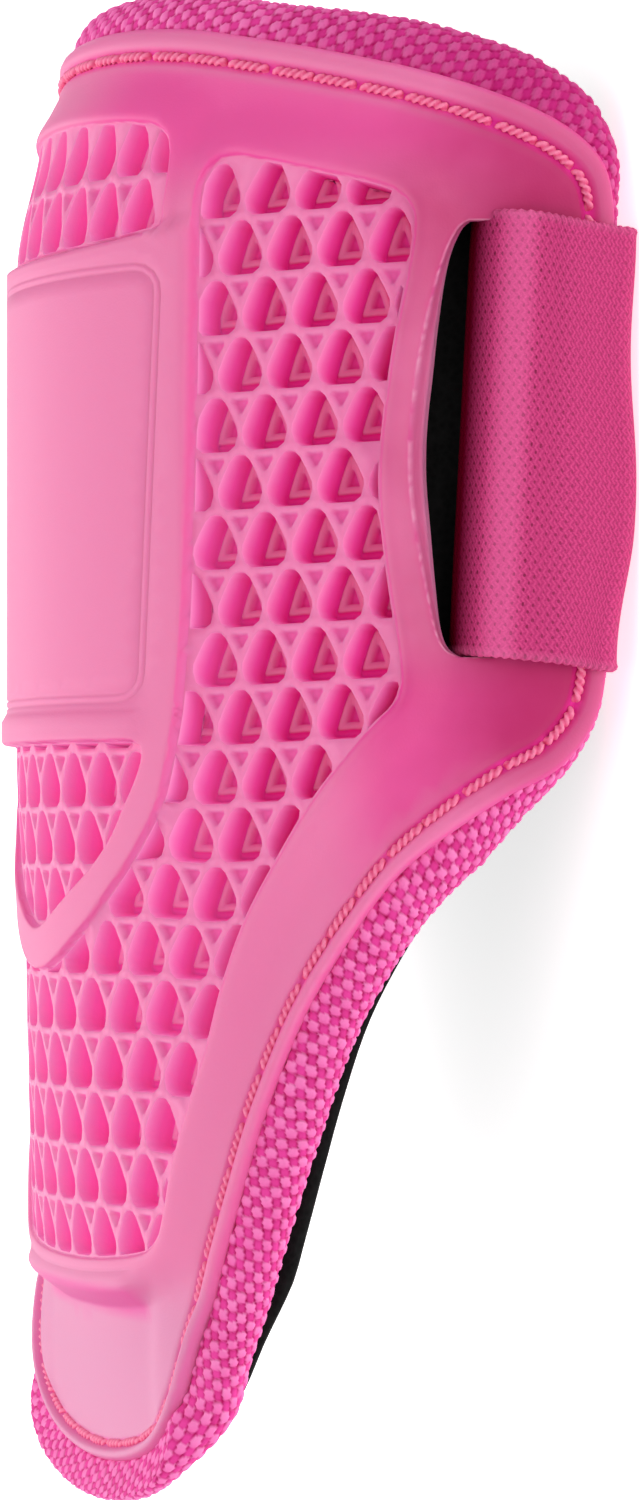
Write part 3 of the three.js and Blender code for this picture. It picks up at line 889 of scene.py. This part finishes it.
FLOAT_LENGTH = 1.65
FLOAT_WIDTH = 1.3
WEAVE_BIAS = math.radians(163)
SAMPLE = 0.29
RUN_REACH = 8
YARN_RADIUS = 0.38
YARN_FILL = 1.85
YARN_SQUARENESS = 2.6
YARN_SWING = 0.30
SWING_FLATNESS = 1.5
LIGHT_YARN_LIFT = 0.21
SWAY = 0.2
CROSS_SWAY = 0.14
FLOATS_DRAWN = 97
YARNS_DRAWN = 89
GIRTH = 17.0
GIRTH_START = math.radians(128)
GIRTH_END = math.radians(-92)
HIDDEN_STEPS = 6
half_along = lengths_along(edge_half)
roll_at = [half_along[np.linalg.norm(edge_half - row[:2], axis=1).argmin()] for row in np.array(ROLL_ROWS)]
roll_sizes = np.array(ROLL_ROWS)[:, 2]
closed_edge = np.vstack([edge, edge[:1]])
closed_along = lengths_along(closed_edge)
full_length = closed_along[-1]


def round_edge(columns):
    """Evenly spaced points round the shell's edge, their distances along it, and the roll's size there."""
    along = np.arange(columns) * full_length / columns
    size = np.interp(np.minimum(along, full_length - along), roll_at, roll_sizes)
    return points_at(along, closed_along, closed_edge), along, size


columns = round(full_length / SAMPLE)
roll_line, column_along, roll_size = round_edge(columns)
roll_out = loop_normals(roll_line, RUN_REACH)
half_width = (roll_size + ROLL_TUCK) / 2
half_depth = (ROLL_TOP - ROLL_BOTTOM) / 2
girth_rows = round(GIRTH / SAMPLE)
turns = np.concatenate([
    np.linspace(GIRTH_START, GIRTH_END, girth_rows),
    np.linspace(GIRTH_END, GIRTH_START - 2 * math.pi, HIDDEN_STEPS + 1)[1:-1],
])
long_turns = 2 * round(math.cos(WEAVE_BIAS) * full_length / FLOAT_LENGTH / 2)
wide_turns = 2 * round(math.sin(WEAVE_BIAS) * full_length / FLOAT_WIDTH / 2)
round_part = np.arange(columns) / columns
tip_lift = TIP_ROLL_LIFT * fade(roll_line[:, 1], *TIP_ROLL_ALONG)
fullness = np.random.default_rng(11).uniform(0.8, 1.15, (FLOATS_DRAWN, YARNS_DRAWN))
out_of_step = np.random.default_rng(12).uniform(-0.16, 0.16, YARNS_DRAWN)


def yarn_top(offset):
    return np.sqrt(np.maximum(0, 1 - np.abs(YARN_FILL * offset) ** YARN_SQUARENESS))


def yarn_swing(step):
    return YARN_SWING * np.clip(SWING_FLATNESS * np.cos(math.pi * step), -1, 1)


def weave(girth):
    """Height of the weave at one distance round the roll, and how light its yarn on top is, with a painted
    highlight towards one end of each float.
    """
    wave = np.sin(column_along / 5.3 + girth / 2.9)
    along = math.sin(WEAVE_BIAS) * girth / FLOAT_LENGTH - long_turns * round_part + SWAY * wave
    aside = math.cos(WEAVE_BIAS) * girth / FLOAT_WIDTH + wide_turns * round_part + CROSS_SWAY * wave
    crossing = np.round(along)
    yarn = np.round(aside)
    drawn_yarn = yarn.astype(int) % YARNS_DRAWN
    full = fullness[crossing.astype(int) % FLOATS_DRAWN, drawn_yarn]
    step = along + yarn + out_of_step[drawn_yarn]
    light = LIGHT_YARN_LIFT + yarn_swing(step) + YARN_RADIUS * full * yarn_top(aside - yarn)
    dark = YARN_RADIUS * full * yarn_top(along - crossing) - yarn_swing(crossing + aside)
    # each float's own random tone, with a painted highlight towards one end
    tone = np.clip(0.6 - 0.5 * ((step + 1) % 2 - 1), 0, 1) * full
    return np.maximum(light, dark), np.where(light > dark, tone, 0.0)


roll_points = []
yarn_lift = []
float_tone_and_lit_end = []
for row, turn in enumerate(turns):
    out = half_width - ROLL_TUCK + half_width * np.cos(turn)
    height = (ROLL_TOP + ROLL_BOTTOM) / 2 + half_depth * np.sin(turn)
    lifted = height + tip_lift * fade(out, *TIP_ROLL_OUT)
    height = np.minimum(lifted, TIP_ROLL_TOP + TIP_ROLL_SLOPE * out)
    face = np.array([np.cos(turn) / half_width, np.full(columns, np.sin(turn) / half_depth)])
    face /= np.linalg.norm(face, axis=0)
    rise = np.zeros(columns)
    side = np.zeros(columns)
    if row < girth_rows:
        rise, side = weave(row * GIRTH / girth_rows)
    spot = roll_line + roll_out * (out + face[0] * rise)[:, None]
    roll_points.append(wrap(*spot.T, height + face[1] * rise))
    yarn_lift.append(rise)
    float_tone_and_lit_end.append(side)


def ring_faces(rows, columns):
    faces = []
    for row in range(rows):
        after = (row + 1) % rows
        for column in range(columns):
            beside = (column + 1) % columns
            faces.append((row * columns + column, row * columns + beside,
                          after * columns + beside, after * columns + column))
    return faces


yarn_values = {"yarn_lift": yarn_lift, "float_tone_and_lit_end": float_tone_and_lit_end}
binding = mesh_piece("woven_binding", np.vstack(roll_points), ring_faces(len(turns), columns), yarn_values)
YARN_LIGHT = (1.0, 0.28, 0.61, 1)
YARN_DEEP = (0.82, 0.052, 0.335, 1)
YARN_SHADE = (0.46, 0.0, 0.14, 1)
YARN_GAP_SHADE = (0.48, 0.0, 0.10, 1)
cloth = Finish(binding, "pink_basket_weave")
# the floats' own tone, with a painted highlight at one end of each
yarns = cloth.mixed(YARN_DEEP, YARN_LIGHT, cloth.values_of("float_tone_and_lit_end"))
# painted shade where the yarns sink, between and under the floats
yarns = cloth.mixed(YARN_GAP_SHADE, yarns, cloth.ranged(cloth.values_of("yarn_lift"), 0.3, 0.7))
# painted shade over the top of the roll, heavier towards the side
shade_at_top = cloth.ranged(cloth.axis("Y"), 0.075, 0.105, 0.0, 0.4)
shade_to_side = cloth.ranged(cloth.axis("X"), 0.030, 0.062, 0.05, 1.8)
cloth.surface({
    "Base Color": cloth.mixed(yarns, YARN_SHADE, cloth.times(shade_at_top, shade_to_side)),
    "Normal": cloth.bump(cloth.noise(2600), 0.35, 0.0003),
    "Roughness": 0.7,
    "Specular IOR Level": 0.15,
})
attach(binding, "root")
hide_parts("edge_binding")

# Pad: black foam with a black knitted lining, glued and sewn to the back of the shell inside the rolled edge.
# It lies close under the shell, is thinner under the roll and at the slots, and its rim is rounded.
PAD_CENTRE = np.array([0.0, 92.0])
PAD_FACE = -5.0
PAD_UNDER_ROLL = -9.1
PAD_BACK = -14.0
PAD_RING_PARTS = (
    0.12, 0.24, 0.36, 0.47, 0.57, 0.66, 0.74, 0.80, 0.85, 0.89, 0.925, 0.95, 0.97, 0.985, 0.995, 1.0,
)
PAD_AT_TONGUE = ((197, 7.7), (209, 6.4), (219, 3.5), (223, 2.3), (230, 0), (237, -4.5), (245, -7))
PAD_COLUMNS = 240
PAD_RISE = (6, 11)
PAD_RIM_PART = 0.05
SLOT_HOLLOW = 2.0
SLOT_HOLLOW_ABOVE = -7.0
HOLLOW_SIDE = (70, 72)
HOLLOW_TOP = (36, 39)
HOLLOW_BOTTOM = (118, 115)
pad_edge, _, pad_size = round_edge(PAD_COLUMNS)
pad_reach = np.minimum(pad_size, profile(pad_edge[:, 1], PAD_AT_TONGUE))
pad_rim = pad_edge + loop_normals(pad_edge) * pad_reach[:, None]


def pad_ring(part, face):
    ring = PAD_CENTRE + (pad_rim - PAD_CENTRE) * part
    s, t = np.abs(ring[:, 0]), ring[:, 1]
    to_edge = np.where(inside(ring, edge), distance_to(ring, edge), 0)
    level = PAD_UNDER_ROLL + (PAD_FACE - PAD_UNDER_ROLL) * fade(to_edge, *PAD_RISE)
    by_slot = fade(s, *HOLLOW_SIDE) * fade(t, *HOLLOW_TOP) * fade(t, *HOLLOW_BOTTOM)
    level = level - SLOT_HOLLOW * by_slot * (level > SLOT_HOLLOW_ABOVE)
    from_rim = np.clip((1 - part) / PAD_RIM_PART, 0, 1)
    rounded = np.sqrt(1 - (1 - from_rim) ** 2)
    middle = (PAD_UNDER_ROLL + PAD_BACK) / 2
    wanted = level if face else np.full(len(ring), PAD_BACK)
    return wrap(*ring.T, middle + (wanted - middle) * rounded)


def tube_faces(rows, columns, first=0):
    """Faces of a closed tube of rings, its two ends last."""
    faces = ring_faces(rows, columns)[:-columns]
    faces += [tuple(range(columns)), tuple(range((rows - 1) * columns, rows * columns))]
    return [tuple(first + corner for corner in face) for face in faces]


pad_points = [pad_ring(part, True) for part in PAD_RING_PARTS]
pad_points += [pad_ring(part, False) for part in PAD_RING_PARTS[-2::-1]]
pad = mesh_piece("black_pad", np.vstack(pad_points), tube_faces(len(pad_points), PAD_COLUMNS))
LINING_DARK = (0.002, 0.002, 0.002, 1)
LINING_LIGHT = (0.008, 0.0075, 0.0075, 1)
lining = Finish(pad, "black_knit_lining")
knit = lining.add("TexVoronoi", "Distance", {"Scale": 900, "Vector": lining.place})
lining.surface({
    "Base Color": lining.mixed(LINING_DARK, LINING_LIGHT, knit),
    "Normal": lining.bump(knit, 0.5, 0.0004),
    "Roughness": 0.95,
    "Specular IOR Level": 0.15,
})
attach(pad, "root")
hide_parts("pad")

# Stitching: one row of twisted coral thread in the groove of the rim, through shell, binding and pad. Each
# stitch comes up from one hole and goes down at the next.
STITCH_INSET = 4.65
STITCH_PITCH = 7.9
STITCH_LENGTH = 6.9
STITCH_WANDER = 0.25
STITCH_BOTTOM = -1.5
STITCH_RISE = 1.35
STITCH_END_PART = 0.16
STITCH_SUNK = 0.4
STITCH_SINKS = (150, 170)
THREAD_RADIUS = 0.66
STITCH_SEGMENTS = 26
THREAD_SIDES = 8
THREAD_TWIST = 5.2
STRAND_DEPTH = 0.32
stitch_loop = evenly(np.vstack([rim_loop(STITCH_INSET), rim_loop(STITCH_INSET)[:1]]), 0.5)
stitch_along = lengths_along(stitch_loop)
stitch_count = round(stitch_along[-1] / STITCH_PITCH)
thread_points = []
thread_faces = []
strands = []
part = np.linspace(0, 1, STITCH_SEGMENTS + 1)
turn = np.linspace(0, 2 * math.pi, THREAD_SIDES, endpoint=False)
arch = np.clip(np.minimum(part, 1 - part) / STITCH_END_PART, 0, 1)
for stitch in range(stitch_count):
    start = stitch * stitch_along[-1] / stitch_count
    along = start + STITCH_LENGTH * part + STITCH_WANDER * math.sin(stitch * 2.4)
    spot = points_at(along % stitch_along[-1], stitch_along, stitch_loop)
    sunk = STITCH_SUNK * fade(spot[:, 1], *STITCH_SINKS)
    lift = STITCH_BOTTOM - sunk + STITCH_RISE * np.sqrt(1 - (1 - arch) ** 2)
    middle = wrap(*spot.T, lift)
    run = unit(np.gradient(middle, axis=0))
    aside = unit(np.cross(run, wrap(*spot.T, lift + 1) - middle))
    up = np.cross(aside, run)
    thread_faces += tube_faces(STITCH_SEGMENTS + 1, THREAD_SIDES, len(thread_points) * THREAD_SIDES)
    for i in range(STITCH_SEGMENTS + 1):
        strand = np.cos(2 * (turn - THREAD_TWIST * math.pi * part[i]))
        radius = (THREAD_RADIUS * MM * (1 + STRAND_DEPTH * strand))[:, None]
        strands.append(strand)
        thread_points.append(
            middle[i] + np.cos(turn)[:, None] * radius * aside[i] + np.sin(turn)[:, None] * radius * up[i]
        )
stitches = mesh_piece("rim_stitching", np.vstack(thread_points), thread_faces, {"strand": strands})
THREAD_DEEP = (0.80, 0.05, 0.20, 1)
THREAD_LIGHT = (1.0, 0.25, 0.44, 1)
thread = Finish(stitches, "coral_thread")
# painted highlight on the twist's raised strands and painted shade between them, with noise for fluff
strand_light_and_fluff = thread.maths("MULTIPLY_ADD", thread.values_of("strand"), 0.4, thread.noise(1500), clamped=True)
thread.surface({
    "Base Color": thread.mixed(THREAD_DEEP, THREAD_LIGHT, strand_light_and_fluff),
    "Roughness": 0.5,
    "Sheen Weight": 0.05,
})
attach(stitches, "root")

# Strap: one loop of wide pink elastic. It folds over the outer bar of each slot, lies over the wing and
# passes flat across the open back. It is a knitted band with bead-like edges.
# Its path gives s and height on the shell.
STRAP_TOP = 39.8
STRAP_WIDTH = 70.6
STRAP_HALF_THICKNESS = 0.95
STRAP_PATH = (
    (97, -5.6), (90, -5.9), (85.5, -5.9), (83.0, -5.5), (81.8, -4.5), (82.4, -3.2), (84.2, -1.2),
    (86.1, 0.9), (88.0, 2.5), (90.2, 3.15), (92.6, 2.9), (95, 2.4), (98, 2.25), (101, 2.0), (104, 1.75),
    (106.5, 1.6),
)
STRAP_TURN = 3.0
STRAP_LEVEL = 76.0
FOLD_SLANT = 1.9
FOLD_FADE = (103, 90)
STRAP_WAVE = 1.0
WAVE_PEAK = 60.0
WAVE_LENGTH = 40.0
STRAP_STAND = 3.0
STAND_ALONG = (88, 112)
STAND_START = 97.0
BEAD_PITCH = 1.5
BEAD_SIZE = 0.3
BEAD_REACH = 1.3
EDGE_ROUND = 0.9
EDGE_THICKNESS = 0.35
STRAP_SLOPE = 0.11
SLOPE_START = 84.0
EDGE_STEPS = np.array([0.0, 0.25, 0.6, 1.0])
path = evenly(smooth_open(STRAP_PATH), 0.42)
quarter = math.pi / 2 * np.linspace(0, 1, 14)[1:]
one_side = np.concatenate([
    EDGE_STEPS, np.linspace(1.5, STRAP_WIDTH - 1.5, 40), STRAP_WIDTH - EDGE_STEPS[::-1],
])
edge_share = np.clip(np.minimum(one_side, STRAP_WIDTH - one_side) / EDGE_ROUND, 0, 1)
rounding = EDGE_THICKNESS + (1 - EDGE_THICKNESS) * np.sqrt(1 - (1 - edge_share) ** 2)
half_thick = STRAP_HALF_THICKNESS * rounding
across_t = np.concatenate([one_side, one_side[::-1]])
across_n = np.concatenate([half_thick, -half_thick[::-1]])
strap_lines = []
for offset_t in across_t:
    level = STRAP_TOP + offset_t
    toward = (STRAP_LEVEL - level) / (STRAP_WIDTH / 2)
    t = level + STRAP_SLOPE * np.maximum(0, path[:, 0] - SLOPE_START) * (path[:, 1] > -1)
    stand = STRAP_STAND * fade(level, *STAND_ALONG)
    stand = stand + STRAP_WAVE * (0.5 + 0.5 * math.cos((level - WAVE_PEAK) / WAVE_LENGTH * 2 * math.pi))
    s = path[:, 0] + FOLD_SLANT * toward * fade(path[:, 0], *FOLD_FADE)
    s = s - np.maximum(0, path[:, 0] - STAND_START) * stand / (path[-1, 0] - STAND_START)
    line = wrap(s, t, path[:, 1])
    wing_x, wing_y, _ = line[-1]
    centre_x = wing_x - STRAP_TURN * MM
    centre_z = (STRAP_TURN + STRAP_HALF_THICKNESS + stand) * MM
    flat_x = np.linspace(centre_x, 0, 24)[1:]
    turn_x = centre_x + STRAP_TURN * MM * np.cos(quarter)
    turn_z = centre_z - STRAP_TURN * MM * np.sin(quarter)
    down = np.column_stack([turn_x, np.full(len(turn_x), wing_y), turn_z])
    flat_z = (STRAP_HALF_THICKNESS + stand * flat_x / centre_x) * MM
    flat = np.column_stack([flat_x, np.full(len(flat_x), wing_y), flat_z])
    half = np.vstack([line, down, flat])
    strap_lines.append(np.vstack([half, mirrored(half[-2::-1])]))
strap_lines = np.array(strap_lines)
normal = unit(np.cross(np.gradient(strap_lines, axis=1), np.array([0, 1, 0])))
strap_along = lengths_along(strap_lines[20]) / MM
bead = 0.5 + 0.5 * np.cos(2 * math.pi * strap_along / BEAD_PITCH)
near_edge = np.minimum(across_t, STRAP_WIDTH - across_t)
beading = np.sin(math.pi * np.clip((near_edge + 0.15) / BEAD_REACH, 0, 1))
thick = across_n[:, None] + np.sign(across_n)[:, None] * BEAD_SIZE * beading[:, None] * bead[None]
strap_points = strap_lines + normal * (thick * MM)[..., None]
outwards = np.where(across_t < STRAP_WIDTH / 2, 1, -1) * np.clip(1 - near_edge / 0.8, 0, 1)
strap_points[..., 1] += outwards[:, None] * bead[None] * BEAD_SIZE * MM
stations = strap_points.shape[1]
strap_faces = ring_faces(len(across_t), stations)
strap_faces = [face for face in strap_faces if abs(face[0] % stations - face[1] % stations) == 1]
strap_faces.append(tuple(range(0, len(across_t) * stations, stations)))
strap_faces.append(tuple(range(stations - 1, len(across_t) * stations, stations)))
strap = mesh_piece("elastic_strap", strap_points.reshape(-1, 3), strap_faces)
MM_PER_UV = 100.0
uv_layer = strap.data.uv_layers.new(name="knit")
corner_vertices = np.array([loop.vertex_index for loop in strap.data.loops])
uv = np.column_stack([strap_along[corner_vertices % stations], across_t[corner_vertices // stations]])
uv_layer.data.foreach_set("uv", (uv / MM_PER_UV).ravel().astype(np.float32))
KNIT_ALONG = 1.45
KNIT_ACROSS = 2.3
ROPE_PITCH = 0.72
OUT_OF_SLOT = (0.155, 0.215)
FOLD_STARTS = (0.205, 0.235)
FOLD_ENDS = (0.275, 0.255)
VALLEY_STARTS = (0.265, 0.29)
VALLEY_ENDS = (0.33, 0.30)
RELAXES = (0.29, 0.36)
EDGING = (0.016, 0.004)
ELASTIC_DARK = (0.22, 0.003, 0.05, 1)
ELASTIC_DEEP = (0.50, 0.020, 0.15, 1)
ELASTIC_PINK = (0.74, 0.055, 0.25, 1)
ELASTIC_EDGE = (0.78, 0.15, 0.35, 1)
ELASTIC_SHADOW = (0.10, 0.0, 0.01, 1)
ELASTIC_FOLD_HIGHLIGHT = (0.95, 0.14, 0.40, 1)
elastic = Finish(strap, "knitted_elastic", uv_map="knit")
lengthways = elastic.axis("X")
crossways = elastic.axis("Y")
from_end = elastic.maths(
    "MINIMUM", lengthways, elastic.maths("SUBTRACT", float(strap_along[-1]) / MM_PER_UV, lengthways)
)
from_edge = elastic.maths("MINIMUM", crossways, elastic.maths("SUBTRACT", STRAP_WIDTH / MM_PER_UV, crossways))
along_turn = elastic.times(lengthways, 2 * math.pi * MM_PER_UV / KNIT_ALONG)
across_turn = elastic.times(crossways, 2 * math.pi * MM_PER_UV / KNIT_ACROSS)
rope_turn = elastic.times(lengthways, 2 * math.pi * MM_PER_UV / ROPE_PITCH)
cells = elastic.times(elastic.maths("COSINE", along_turn), elastic.maths("COSINE", across_turn))
uneven = elastic.times(elastic.maths("SUBTRACT", elastic.noise(150, 3), 0.5), 1.1)
holes = elastic.ranged(elastic.maths("ADD", cells, uneven), 0.58, 0.9)
holes = elastic.times(holes, elastic.ranged(from_end, *RELAXES, 1.0, 0.45))
zigzag = elastic.times(elastic.maths("SINE", elastic.times(across_turn, 2)), 1.4)
ropes = elastic.maths("SINE", elastic.maths("ADD", rope_turn, zigzag))
relief = elastic.maths("SUBTRACT", elastic.times(ropes, 0.35), holes)
rope_tone = elastic.maths("ADD", elastic.times(ropes, 0.16), elastic.noise(420, 2))
colour = elastic.mixed(ELASTIC_DEEP, ELASTIC_PINK, elastic.ranged(rope_tone, 0.25, 0.75))
colour = elastic.mixed(colour, ELASTIC_DARK, holes)
# painted highlight along the crest of the fold
fold_highlight_start = elastic.ranged(from_end, *FOLD_STARTS)
fold_highlight_end = elastic.ranged(from_end, *FOLD_ENDS, 0.0, 0.5)
colour = elastic.mixed(colour, ELASTIC_FOLD_HIGHLIGHT, elastic.times(fold_highlight_start, fold_highlight_end))
# painted shade in the dip just past the fold
valley_shade_start = elastic.ranged(from_end, *VALLEY_STARTS)
valley_shade_end = elastic.ranged(from_end, *VALLEY_ENDS, 0.0, 0.35)
colour = elastic.mixed(colour, ELASTIC_DEEP, elastic.times(valley_shade_start, valley_shade_end))
out_of_slot = elastic.ranged(from_end, *OUT_OF_SLOT)
colour = elastic.mixed(ELASTIC_SHADOW, colour, out_of_slot)
elastic.surface({
    "Base Color": elastic.mixed(colour, ELASTIC_EDGE, elastic.ranged(from_edge, *EDGING, 0.0, 0.3)),
    "Specular IOR Level": elastic.times(out_of_slot, 0.3),
    "Normal": elastic.bump(relief, 0.7, 0.0003),
    "Roughness": 0.62,
})
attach(strap, "root")
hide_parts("strap")

# Floor, light and camera: a pale floor, soft light from above the panel and from the left, and a camera
# at the photograph's angle, aimed so that the point AIM falls on AIM_PIXEL of its frame.
FLOOR_DARK = (0.92, 0.92, 0.92, 1)
FLOOR_LIGHT = (0.95, 0.95, 0.95, 1)
bpy.ops.mesh.primitive_plane_add(size=6, location=(0, 0, 0))
floor = bpy.context.active_object
floor.name = "floor"
paper = Finish(floor, "pale_floor")
paper.surface({
    "Base Color": paper.mixed(FLOOR_DARK, FLOOR_LIGHT, paper.noise(3)),
    "Roughness": 0.9,
    "Emission Color": (1, 1, 1, 1),
    "Emission Strength": 0.7,
})

VIEW_TILT = math.radians(68)
VIEW_DISTANCE = 0.76
VIEW_LEVEL = 140.0
VIEW_DEPTH = 42.0
AIM = Vector((0.020, (MIDDLE_T - VIEW_LEVEL) * MM, (FRONT_Z - VIEW_DEPTH) * MM))
PIXELS_PER_MM = 6.0
IMAGE_HEIGHT = 1500.0
IMAGE_WIDTH = 639.0
AIM_PIXEL = (330.0, 840.0)
backwards = Vector((math.sin(VIEW_TILT), 0, math.cos(VIEW_TILT)))
upwards = Vector((0, 1, 0))
rightwards = upwards.cross(backwards)
camera_data = bpy.data.cameras.new("photo_camera")
camera = bpy.data.objects.new("photo_camera", camera_data)
bpy.context.collection.objects.link(camera)
camera.matrix_world = Matrix.Translation(AIM + backwards * VIEW_DISTANCE) @ Matrix(
    (rightwards, upwards, backwards)
).transposed().to_4x4()
camera_data.sensor_width = 36
camera_data.lens = PIXELS_PER_MM * VIEW_DISTANCE / MM / IMAGE_HEIGHT * camera_data.sensor_width
camera_data.shift_x = (IMAGE_WIDTH / 2 - AIM_PIXEL[0]) / IMAGE_HEIGHT
camera_data.shift_y = (AIM_PIXEL[1] - IMAGE_HEIGHT / 2) / IMAGE_HEIGHT
camera_data.clip_start = 0.05
camera_data.clip_end = 20
bpy.context.scene.camera = camera


def area_light(name, place, target, size, power):
    lamp = bpy.data.lights.new(name, "AREA")
    lamp.shape = "RECTANGLE"
    lamp.size, lamp.size_y = size
    lamp.energy = power
    holder = bpy.data.objects.new(name, lamp)
    bpy.context.collection.objects.link(holder)
    holder.location = place
    aim = Vector(target) - Vector(place)
    holder.rotation_euler = aim.to_track_quat("-Z", "Y").to_euler()


area_light("front_softbox", (0.2, -0.2, 1.2), (0, 0, 0.04), (1.6, 1.6), 10)
area_light("left_softbox", (-0.9, -0.2, 0.8), (0, 0, 0.04), (1.2, 1.4), 7.6)
world = bpy.data.worlds.new("studio")
bpy.context.scene.world = world
world.use_nodes = True
world.node_tree.nodes["Background"].inputs["Color"].default_value = (1, 1, 1, 1)
world.node_tree.nodes["Background"].inputs["Strength"].default_value = 0.44
bpy.context.scene.view_settings.view_transform = "Standard"
